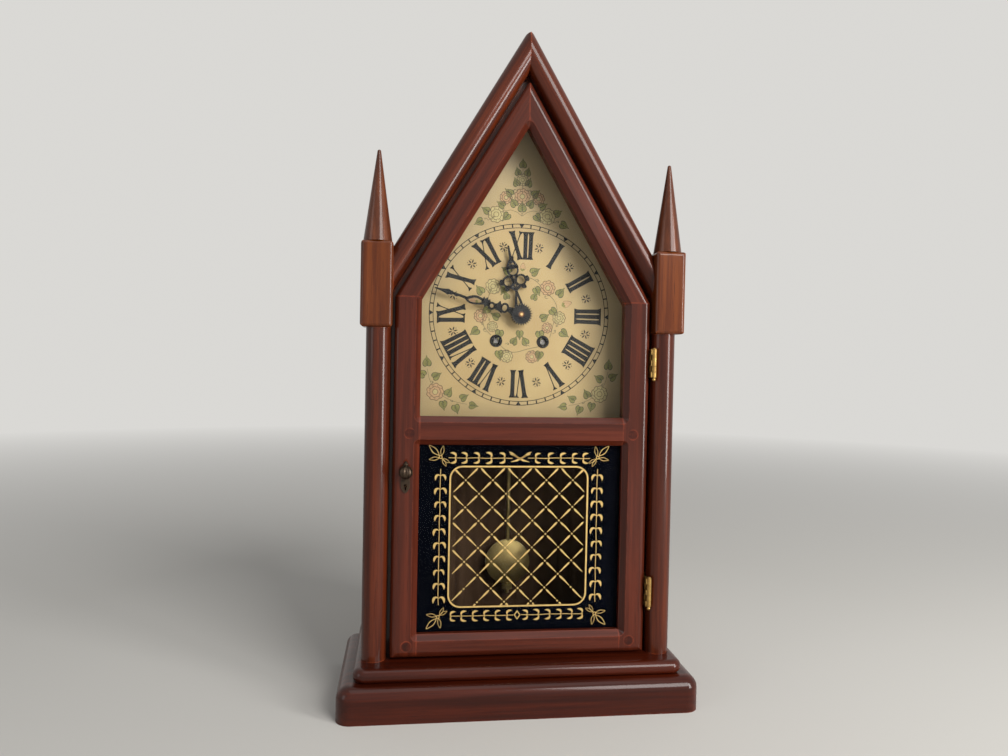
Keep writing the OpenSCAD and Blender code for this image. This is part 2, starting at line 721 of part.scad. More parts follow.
module rafter(side) color(door_wood) difference() {
  slab(door_y, door_back) polygon(concat([[side * door_half, shoulder_z]],
    [for (p = door_tip) flip(p, side)], [[0, open_apex], [side * open_x(shoulder_z), shoulder_z]]));
  rabbet();
  foot = [side * door_half, shoulder_z];
  if (side < 0) {
    edge(foot, [0, door_apex]);
    bevel([0, open_apex], flip(open_shoulder(), side));
  } else {
    edge([0, door_apex], foot);
    bevel(flip(open_shoulder(), side), [0, open_apex]);
  }
  bevel_corners([flip(open_shoulder(), side), [0, open_apex]]);
}
module door_left_rafter() rafter(-1);
module door_right_rafter() rafter(1);

// Pegs run through each stile and the tenon behind it, flush with the front
module pegs() for (x = [-peg_x, peg_x], z = peg_zs)
  bar([x, z], door_y, rabbet_y - 1, peg_d / 2);
module door_pegs() color([0.5, 0.2, 0.1]) pegs();

// Panes lie in the rabbets against the wood, and beads hold them from behind
module upper_glass() color([0.8, 0.85, 0.85, 0.4]) slab(rabbet_y, rabbet_y + glass_t)
  upper_opening(rabbet_w - soft_fit);
module lower_glass() color([0.07, 0.08, 0.14]) slab(rabbet_y, rabbet_y + glass_t)
  lower_opening(rabbet_w - soft_fit);
module glazing_beads() color(door_wood) slab(rabbet_y + glass_t, door_back) {
  difference() { upper_opening(rabbet_w); upper_opening(rabbet_w - bead_w); }
  difference() { lower_opening(rabbet_w); lower_opening(rabbet_w - bead_w); }
}

// Hinges: knuckles 1, 3 and 5 belong to the door, and 2 and 4 carry the pin
function knuckle_z(z, i) = z - hinge_l / 2 + i * (knuckle_l + knuckle_gap);
module knuckle(z, i, bore) translate([hinge_x, hinge_y, knuckle_z(z, i)]) difference() {
  cylinder(d = hinge_d, h = knuckle_l);
  if (bore > 0) translate([0, 0, -cut]) cylinder(d = bore, h = knuckle_l + 2 * cut);
}
module hinge_door_leaves() color(brass) for (z = hinge_zs) {
  difference() {
    union() {
      translate([door_half, leaf_reach, z - hinge_l / 2]) cube([leaf_t, 12, hinge_l]);
      for (i = [0, 2, 4]) {
        translate([door_half, hinge_y - 0.7, knuckle_z(z, i)])
          cube([leaf_t, leaf_reach - hinge_y + 0.7, knuckle_l]);
        knuckle(z, i, 0);
      }
    }
    translate([hinge_x, hinge_y, z - hinge_l / 2 - cut])
      cylinder(d = pin_d + 2 * run_fit, h = hinge_l + 2 * cut);
  }
  door_leaf_screws(z);
}
module door_leaf_screws(z) for (dz = [-7, 7]) translate([door_half - 7, leaf_reach + 7.5, z + dz])
  rotate([0, 90, 0]) cylinder(r = 0.9, h = 7);

module hinge_case_leaves() color(brass) for (z = hinge_zs) {
  translate([case_leaf_x, leaf_reach, z - hinge_l / 2])
    cube([case_leaf_t, case_y + case_leaf_t - leaf_reach, hinge_l]);
  translate([case_leaf_x, case_y, z - hinge_l / 2])
    cube([inner_x - case_leaf_x, case_leaf_t, hinge_l]);
  for (i = [1, 3]) {
    translate([case_leaf_x, hinge_y, knuckle_z(z, i)])
      cube([case_leaf_t, leaf_reach - hinge_y, knuckle_l]);
    knuckle(z, i, 0);
  }
  translate([hinge_x, hinge_y, z - hinge_l / 2 - 0.8]) cylinder(d = pin_d, h = hinge_l + 1.6);
  translate([hinge_x, hinge_y, z - hinge_l / 2 - 1.7]) sphere(1.5);
  translate([hinge_x, hinge_y, z + hinge_l / 2 + 0.3]) cylinder(r1 = 1.8, r2 = 1.2, h = 0.8);
  foot_screws(z, 6);
}
module foot_screws(z, deep) for (dz = [-7, 7])
  bar([inner_x - 3, z + dz], case_y + case_leaf_t, case_y + deep, 0.9);

// ---- Latch ----

module keyhole() translate([latch_x, latch_z - 10.6]) {
  circle(1.3);
  translate([-0.6, -3.4]) square([1.2, 3.4]);
}
module latch_escutcheon() color([0.30, 0.22, 0.13]) slab(door_y - plate_h, door_y) difference() {
  translate([latch_x, latch_z]) {
    circle(4.6);
    polygon([[-2.2, 3], [-2.9, -3], [-3.5, -9], [-3.2, -12.4], [-1.4, -15.2], [0, -16.2],
      [1.4, -15.2], [3.2, -12.4], [3.5, -9], [2.9, -3], [2.2, 3], [0, 7.4]]);
  }
  translate([latch_x, latch_z]) circle(spindle_d / 2 + run_fit);
  keyhole();
}

module latch_knob() color([0.30, 0.22, 0.13]) {
  bar([latch_x, latch_z], door_y - 8, cam_y + cam_t + 1.5, spindle_d / 2);
  bar([latch_x, latch_z], door_y - 3, door_y - plate_h - 0.2, 3);
  translate([latch_x, door_y - 6.4, latch_z]) sphere(d = knob_d);
}

module latch_cam() color(steel) {
  difference() {
    slab(cam_y, cam_y + cam_t) translate([latch_x, latch_z]) {
      circle(3);
      translate([-cam_w / 2, -cam_l]) square([cam_w, cam_l]);
    }
    bar([latch_x, latch_z], cam_y - cut, cam_y + cam_t + cut, spindle_d / 2);
  }
  translate([latch_x, cam_y + cam_t + run_fit, latch_z]) rotate([-90, 0, 0]) difference() {
    cylinder(r = 2.9, h = 1.3, $fn = 6);
    translate([0, 0, -cut]) cylinder(r = spindle_d / 2 + 0.02, h = 4);
  }
}

// ---- Going train ----

module centre_wheel() color(brass) {
  bar(centre, minute_hand_y - 2.2, rear_y - 0.3, arbor_r);
  bar(centre, rear_y - 0.4, rear_back + 0.2, pivot_r);
  wheel(centre, centre_n, centre_m, 0.7);
  pinion(centre, second_p, centre_pinion_n, second_m, second_n, 2.5, 2);
}

module cannon_pinion() color([0.72, 0.43, 0.26]) difference() {
  union() {
    bar(centre, minute_hand_y - 1.9, board_back + 5.6, cannon_r);
    translate([centre.x, 0, centre.y]) slab(board_back + 4, board_back + 5.6)
      teeth(cannon_n, motion_m, 0, 0.34, 0.8, 1.3);
  }
  bar(centre, minute_hand_y - 4, board_back + 8, arbor_r);
}

module minute_hand() color(black) translate([centre.x, 0, centre.y])
  rotate([0, minutes_shown * 6, 0]) {
    slab(minute_hand_y, minute_hand_y + hand_t) difference() {
      union() {
        circle(6);
        polygon([[-3, 4], [3, 4], [2.4, 9], [-2.4, 9]]);
        translate([0, 12.2]) circle(4.6);
        translate([-1, 19.4]) circle(5);
        translate([0.8, 26.4]) circle(4.2);
        polygon([[-1.6, 28], [3, 28.6], [1.8, 34], [1.1, 40], [0.7, minute_l - 12],
          [-0.7, minute_l - 12], [-1, 40]]);
        polygon([[-0.5, minute_l - 15], [0.5, minute_l - 15], [2.4, minute_l - 13.4],
          [0.8, minute_l - 9], [0.35, minute_l], [-0.35, minute_l], [-0.8, minute_l - 9],
          [-2.4, minute_l - 13.4]]);
      }
      translate([0.3, 12.4]) circle(2.6);
      translate([-1, 19.6]) circle(2.9);
      translate([1.1, 26.2]) circle(2.2);
      circle(cannon_r);
    }
    slab(minute_hand_y - 1.2, minute_hand_y) difference() {
      teeth(28, 2 * (collar_r - 0.45) / 28, 0, 0.5, 0.75, 0.75);
      circle(cannon_r);
    }
  }

module hour_wheel() color(brass) difference() {
  union() {
    bar(centre, hour_hand_y - 0.6, board_back + 2.8, hour_pipe_r);
    translate([centre.x, 0, centre.y]) slab(board_back + 1.6, board_back + 2.8)
      teeth(hour_n, hour_m, mesh(motion_p, centre, minute_pinion_n, hour_n));
  }
  bar(centre, hour_hand_y - 3, board_back + 5, cannon_r + run_fit);
}

module hour_hand() color(black) translate([centre.x, 0, centre.y]) rotate([0, hour_angle, 0])
  slab(hour_hand_y, hour_hand_y + hand_t) difference() {
    union() {
      circle(6);
      polygon([[-3.4, 4], [3.4, 4], [1.6, 18], [-1.6, 18]]);
      polygon([[-1.6, 17], [1.6, 17], [3.4, 22], [0, 25], [-3.4, 22]]);
      for (x = [-5, 5]) translate([x, 26.6]) circle(5.1);
      polygon([[-9.8, 22.4], [-6.8, 19.6], [-3.6, 22], [-5.4, 24]]);
      polygon([[9.8, 22.4], [5.4, 24], [3.6, 22], [6.8, 19.6]]);
      polygon([[-1.6, 29], [1.6, 29], [4.8, 34.2], [4.4, 37.6], [1.9, 42], [1.1, 47],
        [0.9, hour_l], [-0.9, hour_l], [-1.1, 47], [-1.9, 42], [-4.4, 37.6], [-4.8, 34.2]]);
    }
    for (x = [-5, 5]) translate([x, 26.8]) circle(3.6);
    translate([0, 35.2]) circle(3);
    polygon([[-1.3, 9], [1.3, 9], [0.5, 15], [-0.5, 15]]);
    circle(hour_pipe_r);
  }

module minute_wheel() color(brass) difference() {
  translate([motion_p.x, 0, motion_p.y]) {
    slab(board_back + 4.2, board_back + 5.4)
      teeth(minute_n, motion_m, mesh(centre, motion_p, cannon_n, minute_n));
    slab(board_back + 1.2, board_back + 4.2) teeth(minute_pinion_n, hour_m, 0, 0.34, 0.8, 1.3);
  }
  bar(motion_p, board_back, level, 1 + run_fit);
}

// A going barrel: the drum with its toothed rim, the cover, and the spring between them
module barrel(p) {
  color(brass) difference() {
    union() {
      bar(p, level + drum_level, level + drum_end, drum_r);
      translate([p.x, 0, p.y]) slab(level + rim_level, level + drum_end) teeth(barrel_n, barrel_m);
    }
    bar(p, level + drum_level - cut, level + drum_end - 1, drum_r - drum_wall);
    bar(p, level, level + drum_end + cut, barrel_arbor_r + run_fit);
  }
  color(brass) difference() {
    bar(p, level + drum_level, level + drum_level + 1, drum_r - drum_wall - 0.03);
    bar(p, level, level + drum_level + 2, barrel_arbor_r + run_fit);
  }
  color(steel) difference() {
    bar(p, level + drum_level + 1.3, level + drum_end - 1.3, drum_r - drum_wall - 0.3);
    bar(p, level, level + drum_end, hub_r + 0.3);
  }
}
module time_barrel() barrel(time_barrel_p);
module strike_barrel() barrel(strike_barrel_p);

// A winding arbor: the square for the key, the ratchet wheel, the spring's hub, the pivot
module winding_arbor(p) color(steel) {
  bar(p, board_back + 3.6, level + drum_end + 0.4, barrel_arbor_r);
  bar(p, level + drum_end, rear_back + 0.4, barrel_arbor_r - 0.7);
  translate([p.x - 1.75, dial_y + 1.4, p.y - 1.75]) cube([3.5, board_back + 4 - dial_y, 3.5]);
  translate([p.x, 0, p.y]) slab(plate_y - 2, plate_y - 0.6) polygon([for (i = [0:15], k = [0, 1])
    (ratchet_r - 1.3 * k) * [cos(22.5 * i + 3 * k), sin(22.5 * i + 3 * k)]]);
  bar(p, level + drum_level + 1.3, level + drum_end - 1.3, hub_r);
}
module time_winding_arbor() winding_arbor(time_barrel_p);
module strike_winding_arbor() winding_arbor(strike_barrel_p);

module time_second_wheel() color(brass) {
  arbor(second_p);
  wheel(second_p, second_n, second_m, 2.9);
  pinion(second_p, time_barrel_p, second_pinion_n, barrel_m, barrel_n, 16.7, 3);
}

module third_wheel() color(brass) {
  arbor(third_p);
  wheel(third_p, third_n, third_m, 7.1);
  pinion(third_p, centre, leaf_n, centre_m, centre_n, 0.4, 1.8);
}

module escape_wheel() color(brass) {
  arbor(escape_p);
  pinion(escape_p, third_p, leaf_n, third_m, third_n, 6.7, 2);
  translate([escape_p.x, 0, escape_p.y]) slab(level + 16.1, level + 16.1 + wheel_t) difference() {
    polygon([for (i = [0:escape_n - 1], k = [0, 1, 2])
      [escape_r, escape_r - 0.2, escape_r - 1][k]
      * [cos(9 * i + [0, 1.4, 4.4][k]), sin(9 * i + [0, 1.4, 4.4][k])]]);
    for (i = [0:3]) rotate(90 * i + 45) translate([4.9, 0]) circle(1.9);
  }
}

// The anchor rocks with the pendulum, and its crutch ends in a fork round the rod
module anchor() color(steel) {
  bar(anchor_p, level + 0.3, cock_y - 0.3, arbor_r);
  bar(anchor_p, plate_y - 0.2, level + 0.4, pivot_r);
  bar(anchor_p, cock_y - 0.4, cock_y + cock_t - 0.4, pivot_r);
  translate([anchor_p.x, 0, anchor_p.y]) {
    slab(level + 15.9, level + 17.5) {
      circle(2.4);
      for (s = [-1, 1]) polygon([[s * 0.5, 1.8], [s * 6.2, -0.6], [s * 7.4, -3.4],
        [s * 6.3, -3.6], [s * 5.3, -1.8], [s * 0.5, -1.2]]);
    }
    slab(rear_back + 1.1, rear_back + 2.1) {
      circle(2.4);
      translate([-1, -28]) square([2, 28]);
      translate([-3.6, -30]) square([7.2, 3]);
    }
    for (s = [-1, 1]) translate([s * (rod_d / 2 + 1.05) - 0.75, rear_back + 1.1, -30])
      cube([1.5, pendulum_y + 3 - rear_back - 1.1, 3]);
  }
}

// ---- Pendulum ----

module pendulum_rod() color(brass) difference() {
  union() {
    translate([-4, pendulum_y - 1.5, anchor_p.y - 6]) cube([8, 3, 10]);
    translate([0, pendulum_y, bob_z - bob_d / 2 - 8]) cylinder(d = rod_d, h = pendulum_l + bob_d / 2 + 3);
  }
  bar(anchor_p, pendulum_y - 4, pendulum_y + 4, 1 + run_fit);
}

module pendulum_bob() color(brass) translate([0, pendulum_y, bob_z]) difference() {
  sag = bob_t / 2 - 1;
  ball = (bob_d * bob_d / 4 + sag * sag) / (2 * sag);
  intersection() {
    rotate([90, 0, 0]) cylinder(d = bob_d, h = bob_t, center = true);
    translate([0, ball - bob_t / 2, 0]) sphere(ball, $fn = 180);
    translate([0, bob_t / 2 - ball, 0]) sphere(ball, $fn = 180);
  }
  translate([0, 0, -bob_d]) cylinder(d = rod_d + 2 * run_fit, h = 2 * bob_d);
}

module rating_nut() color(brass) translate([0, pendulum_y, bob_z - bob_d / 2 - 0.3 - nut_h])
  linear_extrude(nut_h) difference() {
    teeth(24, 2 * (nut_r - 0.2) / 24, 0, 0.5, 0.5, 0.5);
    circle(rod_d / 2 + run_fit);
  }

// ---- Strike train ----

module strike_second_wheel() color(brass) {
  arbor(strike_second_p);
  wheel(strike_second_p, strike_n, strike_m, 2.9);
  pinion(strike_second_p, strike_barrel_p, second_pinion_n, barrel_m, barrel_n, 16.7, 3);
  translate([strike_second_p.x, 0, strike_second_p.y]) slab(level + 8.1, level + 11.1)
    polygon([for (i = [0:15]) (i % 2 == 0 ? star_r : star_r - 1.5) * [cos(22.5 * i), sin(22.5 * i)]]);
}

module strike_third_wheel() color(brass) {
  arbor(strike_third_p);
  wheel(strike_third_p, strike_third_n, third_m, 10.1);
  pinion(strike_third_p, strike_second_p, leaf_n, strike_m, strike_n, 2.5, 2);
}

module fly() color(steel) {
  arbor(fly_p);
  pinion(fly_p, strike_third_p, leaf_n, third_m, strike_third_n, 9.7, 2);
  translate([fly_p.x - 7, level + 12.6, fly_p.y - 0.4]) cube([14, 7.5, 0.8]);
}

// The star lifts the tail, and the head falls back beside the gong rods
module hammer() color(steel) {
  head = [gong_x + gong_r + 0.8 + head_r, hammer_p.y - 36];
  reach = head - hammer_p;
  tail = norm(strike_second_p - hammer_p) - star_r - 0.3;
  bar(hammer_p, level + 0.3, rear_back + 3.6, arbor_r);
  bar(hammer_p, plate_y - 0.2, level + 0.4, pivot_r);
  translate([hammer_p.x, 0, hammer_p.y]) {
    slab(level + 8.6, level + 10.6) {
      circle(2.2);
      rotate(aim(hammer_p, strike_second_p)) translate([0, -0.7]) square([tail, 1.4]);
    }
    slab(rear_back + 2.1, rear_back + 3.6) {
      circle(2.6);
      rotate(atan2(reach.y, reach.x)) translate([0, -1.2]) square([norm(reach), 2.4]);
    }
  }
  bar(head, gong_ys[0] - gong_r - 1, gong_ys[1] + gong_r + 1, head_r);
}

lower_base();
upper_base();
left_side();
right_side();
left_roof();
right_roof();
back_board();
left_column();
right_column();
left_pinnacle();
right_pinnacle();
front_frame();
dial_board();
dial_plate();
winding_grommets();
back_screws();
latch_keeper();
hinge_case_leaves();
front_plate();
back_plate();
plate_pillars();
clicks();
suspension_cock();
gong_block();
gong_rods();
door_left_stile();
door_right_stile();
door_bottom_rail();
door_middle_rail();
door_left_rafter();
door_right_rafter();
door_pegs();
upper_glass();
lower_glass();
glazing_beads();
hinge_door_leaves();
latch_escutcheon();
latch_knob();
latch_cam();
centre_wheel();
cannon_pinion();
minute_hand();
hour_wheel();
hour_hand();
minute_wheel();
time_barrel();
time_second_wheel();
third_wheel();
escape_wheel();
anchor();
pendulum_rod();
pendulum_bob();
rating_nut();
time_winding_arbor();
strike_winding_arbor();
strike_barrel();
strike_second_wheel();
strike_third_wheel();
fly();
hammer();
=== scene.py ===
# %% [markdown]
# # A steeple shelf clock, dressed in Blender
# The solid parts of this clock come from a CAD model. They already have their real sizes
# and places. This notebook gives them wood, brass, steel and glass, and adds what CAD
# leaves out: the painted dial, the gilt pattern on the lower glass, the pierced hands
# and the fluted knob. Sizes and places on the clock are millimetres, and `mm` turns them
# into metres. Floor, lamps and the fine detail of materials are in metres.

# %% Load the frame
import math
import random

import bpy
from mathutils import Matrix, Vector


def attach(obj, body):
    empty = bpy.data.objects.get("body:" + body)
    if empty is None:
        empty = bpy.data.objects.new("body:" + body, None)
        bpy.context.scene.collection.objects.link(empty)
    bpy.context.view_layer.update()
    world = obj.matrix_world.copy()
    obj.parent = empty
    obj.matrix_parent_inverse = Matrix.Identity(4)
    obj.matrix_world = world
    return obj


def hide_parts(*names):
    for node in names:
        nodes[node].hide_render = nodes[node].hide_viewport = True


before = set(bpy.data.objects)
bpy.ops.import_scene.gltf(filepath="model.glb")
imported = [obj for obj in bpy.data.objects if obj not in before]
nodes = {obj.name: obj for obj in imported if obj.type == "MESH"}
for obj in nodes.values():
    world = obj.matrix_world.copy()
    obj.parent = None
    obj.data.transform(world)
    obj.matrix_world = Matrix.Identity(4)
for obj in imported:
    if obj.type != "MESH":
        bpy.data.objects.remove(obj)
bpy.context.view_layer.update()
mm = 0.001

# %% [markdown]
# ## The camera
# The camera stands at the height of the dial's lower half, a little left of the middle,
# and looks almost level. Its focal length and its place were worked out from straight
# edges of the case whose real sizes are known. A small roll tips the picture clockwise.

# %% Camera
CAMERA_AT = Vector((-88.8, -599.55, 259.5)) * mm
YAW, PITCH, ROLL = (math.radians(a) for a in (7.35, -1.12, 1.13))
bpy.ops.object.camera_add()
camera = bpy.context.object
camera.data.sensor_width = 36
camera.data.lens = 27.13
camera.data.clip_start = 0.01
level = math.cos(PITCH)
ahead = Vector((math.sin(YAW) * level, math.cos(YAW) * level, math.sin(PITCH)))
right = ahead.cross(Vector((0, 0, 1))).normalized()
up = right.cross(ahead)
c, s = math.cos(ROLL), math.sin(ROLL)
right, up = right * c + up * s, up * c - right * s
facing = Matrix((right, up, -ahead)).transposed()
camera.matrix_world = Matrix.Translation(CAMERA_AT) @ facing.to_4x4()
bpy.context.scene.camera = camera
print("camera at", tuple(round(v, 3) for v in camera.location))

# %% [markdown]
# ## Floor and light
# The clock stands on a plain pale floor, which keeps its shadow. Away from the clock the
# floor fades into the backdrop's own colour, so that it meets the backdrop softly. That
# fade and the pale backdrop are there for the camera, for shiny surfaces and through
# glass. All other rays meet the plain floor and a darker world, which keeps the shaded
# sides a little deeper. The main lamp stands at the front right, and throws the door's
# shadow across the right of the dial. A narrow lamp farther round gives the columns and
# the gable their long highlights. Weak ones fill from the left and the top.

# %% Helpers for nodes
def link(tree, source, target):
    tree.links.new(source, target)


def node_in(tree, kind, **settings):
    n = tree.nodes.new(kind)
    for name, value in settings.items():
        setattr(n, name, value)
    return n


def fix(n, **values):
    """Sets sockets by their names, with an underscore for each space."""
    for label, value in values.items():
        n.inputs[label.replace("_", " ")].default_value = value


def feed(tree, value, socket):
    """Gives a socket a number, a colour or another node's output."""
    if isinstance(value, (int, float)):
        socket.default_value = value
    elif isinstance(value, tuple):
        socket.default_value = (*value, 1)[:4]
    elif value is not None:
        link(tree, value, socket)


def here(tree):
    """The place on the piece, in metres."""
    return node_in(tree, "ShaderNodeTexCoord").outputs["Object"]


def maths(tree, operation, a, b=None, clamp=False):
    n = node_in(tree, "ShaderNodeMath", operation=operation, use_clamp=clamp)
    feed(tree, a, n.inputs[0])
    feed(tree, b, n.inputs[1])
    return n.outputs[0]


def blend_colours(tree, mask, a, b):
    n = node_in(tree, "ShaderNodeMix", data_type="RGBA")
    for i, value in ((0, mask), (6, a), (7, b)):
        feed(tree, value, n.inputs[i])
    return n.outputs[2]


def fresh_material(name):
    m = bpy.data.materials.new(name)
    m.use_nodes = True
    tree = m.node_tree
    return m, tree, tree.nodes["Principled BSDF"]


def looked_at(tree):
    """1 for rays from the camera, from shiny surfaces and through glass, or else 0."""
    rays = node_in(tree, "ShaderNodeLightPath")
    mask = rays.outputs["Is Camera Ray"]
    for kind in ("Is Glossy Ray", "Is Transmission Ray"):
        mask = maths(tree, "MAXIMUM", mask, rays.outputs[kind])
    return mask


print("helpers for nodes: ready")

# %% Floor
BACKDROP, FLOOR = (0.70, 0.69, 0.665), (0.66, 0.645, 0.61)
# The floor starts to fade this far from the clock, and has faded after this run (metres)
FADE_FROM, FADE_RUN = 0.5, 2.0
bpy.ops.mesh.primitive_circle_add(vertices=96, radius=9, fill_type="NGON")
floor = bpy.context.object
floor.name = "floor"
floor_paint, tree, skin = fresh_material("pale_floor")
fix(skin, Roughness=0.75, Emission_Strength=1, Specular_IOR_Level=0)
from_clock = node_in(tree, "ShaderNodeVectorMath", operation="LENGTH")
link(tree, here(tree), from_clock.inputs[0])
past = maths(tree, "SUBTRACT", from_clock.outputs["Value"], FADE_FROM)
sweep = maths(tree, "MULTIPLY", past, 1 / FADE_RUN, clamp=True)
far = maths(tree, "MULTIPLY", sweep, looked_at(tree))
link(tree, blend_colours(tree, far, FLOOR, (0, 0, 0)), skin.inputs["Base Color"])
link(tree, blend_colours(tree, far, (0, 0, 0), BACKDROP), skin.inputs["Emission Color"])
floor.data.materials.append(floor_paint)
print("floor:", tuple(round(v, 2) for v in floor.dimensions))

# %% World and lamps
SHADE = (0.25, 0.25, 0.25)
world = bpy.data.worlds.new("studio")
bpy.context.scene.world = world
world.use_nodes = True
tree = world.node_tree
background = tree.nodes["Background"]
link(tree, blend_colours(tree, looked_at(tree), SHADE, BACKDROP), background.inputs["Color"])
fix(background, Strength=1)


def lamp(name, at, aim, size, power, colour=(1, 1, 1)):
    bpy.ops.object.light_add(type="AREA", location=at)
    light = bpy.context.object
    light.name = name
    light.data.shape = "RECTANGLE"
    light.data.size, light.data.size_y = size
    light.data.energy = power
    light.data.color = colour
    light.rotation_euler = (Vector(aim) - Vector(at)).to_track_quat("-Z", "Y").to_euler()
    return light


lamp("window_right", (0.912, -1.715, 1.283), (0, 0, 0.27), (0.9, 1.1), 31, (1, 0.985, 0.96))
lamp("strip_right", (1.0, -0.85, 0.46), (0, 0, 0.46), (0.3, 0.9), 13, (1, 0.99, 0.97))
lamp("fill_left", (-2.3, -1.3, 0.9), (0, 0, 0.25), (0.9, 1.4), 5, (0.95, 0.975, 1))
lamp("top", (0.1, -0.5, 2.4), (0, 0, 0.2), (1.4, 1.4), 5)
bpy.context.scene.view_settings.view_transform = "Standard"

# %% [markdown]
# ## Wood
# The case is mahogany under a reddish-brown varnish. Real mahogany shows three scales at
# once: broad bands where the saw crossed the growth rings, soft streaks along the board,
# and short dark pores. A node group makes all three from one vector whose Z runs along
# the grain, so each board only has to turn its own vector. The varnish is a clear coat.

# %% Helpers for groups and textures
def new_group(name, inputs, outputs):
    g = bpy.data.node_groups.new(name, "ShaderNodeTree")
    for kind, label, value in inputs:
        s = g.interface.new_socket(label, in_out="INPUT", socket_type="NodeSocket" + kind)
        if value is not None:
            s.default_value = value
    for kind, label in outputs:
        g.interface.new_socket(label, in_out="OUTPUT", socket_type="NodeSocket" + kind)
    return g, g.nodes.new("NodeGroupInput"), g.nodes.new("NodeGroupOutput")


def stretched(tree, vector, scale):
    m = node_in(tree, "ShaderNodeMapping")
    fix(m, Scale=scale)
    link(tree, vector, m.inputs["Vector"])
    return m.outputs[0]


def noise(tree, vector, scale, detail=3, rough=0.5, distortion=0.0):
    n = node_in(tree, "ShaderNodeTexNoise")
    link(tree, vector, n.inputs["Vector"])
    fix(n, Scale=scale, Detail=detail, Roughness=rough, Distortion=distortion)
    return n.outputs[0]


def ramp(tree, value, low, high, a=0.0, b=1.0):
    n = node_in(tree, "ShaderNodeMapRange", clamp=True)
    link(tree, value, n.inputs[0])
    for socket, number in zip(list(n.inputs)[1:5], (low, high, a, b)):
        socket.default_value = number
    return n.outputs[0]


def relief(tree, height, skin, strength, depth):
    """A fine relief on a material, from a height between 0 and 1."""
    bump = node_in(tree, "ShaderNodeBump")
    fix(bump, Strength=strength, Distance=depth)
    link(tree, height, bump.inputs["Height"])
    link(tree, bump.outputs[0], skin.inputs["Normal"])


def placed(tree, group, **values):
    """A group's node in a material, with its sockets set or linked by name."""
    n = node_in(tree, "ShaderNodeGroup", node_tree=group)
    for label, value in values.items():
        feed(tree, value, n.inputs[label])
    return n


print("helpers for groups: ready")

# %% Wood grain
grain, gin, gout = new_group(
    "wood_grain",
    [("Vector", "Vector", None), ("Color", "Light", (0.5, 0.2, 0.1, 1)),
     ("Color", "Mid", (0.3, 0.1, 0.05, 1)), ("Color", "Dark", (0.1, 0.03, 0.02, 1)),
     ("Float", "Bands", 0.5)],
    [("Color", "Color"), ("Float", "Height"), ("Float", "Pores")])


def along_grain(length):
    """The group's vector, with the pattern drawn out along the grain."""
    return stretched(grain, gin.outputs["Vector"], (1, 1, length))


bands = node_in(grain, "ShaderNodeTexWave", wave_type="RINGS", rings_direction="Z")
link(grain, along_grain(0.07), bands.inputs["Vector"])
fix(bands, Scale=38, Distortion=6, Detail=3, Detail_Scale=0.6, Detail_Roughness=0.55)
streak = noise(grain, along_grain(0.03), 260, 4, 0.6)
cloud = noise(grain, along_grain(0.25), 22, 3, 0.5, 0.4)
pore = ramp(grain, noise(grain, along_grain(0.035), 1500, 2, 0.5), 0.60, 0.72)
banded = maths(grain, "SUBTRACT", bands.outputs["Fac"], 0.5)
banded = maths(grain, "MULTIPLY", banded, gin.outputs["Bands"])
tone = maths(grain, "ADD", maths(grain, "ADD", ramp(grain, streak, 0.28, 0.72), banded),
             maths(grain, "SUBTRACT", cloud, 0.5), clamp=True)
low = blend_colours(grain, ramp(grain, tone, 0.0, 0.55), gin.outputs["Dark"], gin.outputs["Mid"])
full = blend_colours(grain, ramp(grain, tone, 0.5, 1.0), low, gin.outputs["Light"])
pored = blend_colours(grain, maths(grain, "MULTIPLY", pore, 0.75), full, gin.outputs["Dark"])
link(grain, pored, gout.inputs["Color"])
rise = maths(grain, "MULTIPLY", tone, 0.4)
link(grain, maths(grain, "SUBTRACT", rise, pore), gout.inputs["Height"])
link(grain, pore, gout.inputs["Pores"])
print("wood grain:", len(grain.nodes), "nodes")

# %% [markdown]
# Edges are painted paler: partly varnish that hands and dusters rubbed thin, partly a
# painted highlight where a rounded edge would catch the light. A Bevel node gives the normal
# that a slightly rounded edge would have, and where that differs from the flat face's own
# normal there is an edge. Noise breaks the mask up, so that the paler edges come and go.

# %% Worn edges, with painted highlights
edges, ein, eout = new_group(
    "worn_and_highlit_edges", [("Float", "Radius", 0.0015), ("Float", "Amount", 1.0)], [("Float", "Mask")])
soft_normal = node_in(edges, "ShaderNodeBevel", samples=6)
link(edges, ein.outputs["Radius"], soft_normal.inputs["Radius"])
flat_normal = node_in(edges, "ShaderNodeNewGeometry")
dot = node_in(edges, "ShaderNodeVectorMath", operation="DOT_PRODUCT")
link(edges, soft_normal.outputs[0], dot.inputs[0])
link(edges, flat_normal.outputs["Normal"], dot.inputs[1])
sharp = ramp(edges, maths(edges, "SUBTRACT", 1.0, dot.outputs["Value"]), 0.01, 0.16)
patchy = ramp(edges, noise(edges, here(edges), 90, 4, 0.6), 0.35, 0.65)
rubbed_and_highlit = maths(edges, "MULTIPLY", sharp, patchy)
link(edges, maths(edges, "MULTIPLY", rubbed_and_highlit, ein.outputs["Amount"]), eout.inputs["Mask"])
print("groups:", [g.name for g in bpy.data.node_groups])

# %% [markdown]
# Each wood is three colours: the light ground, its middle tone and the dark of the pores.
# A board's material turns the grain to run the way that the real board was sawn, and
# moves it, so that no two boards show the same figure. The varnish on top is a coat with
# a roughness of its own, under which the wood keeps its softer shine.

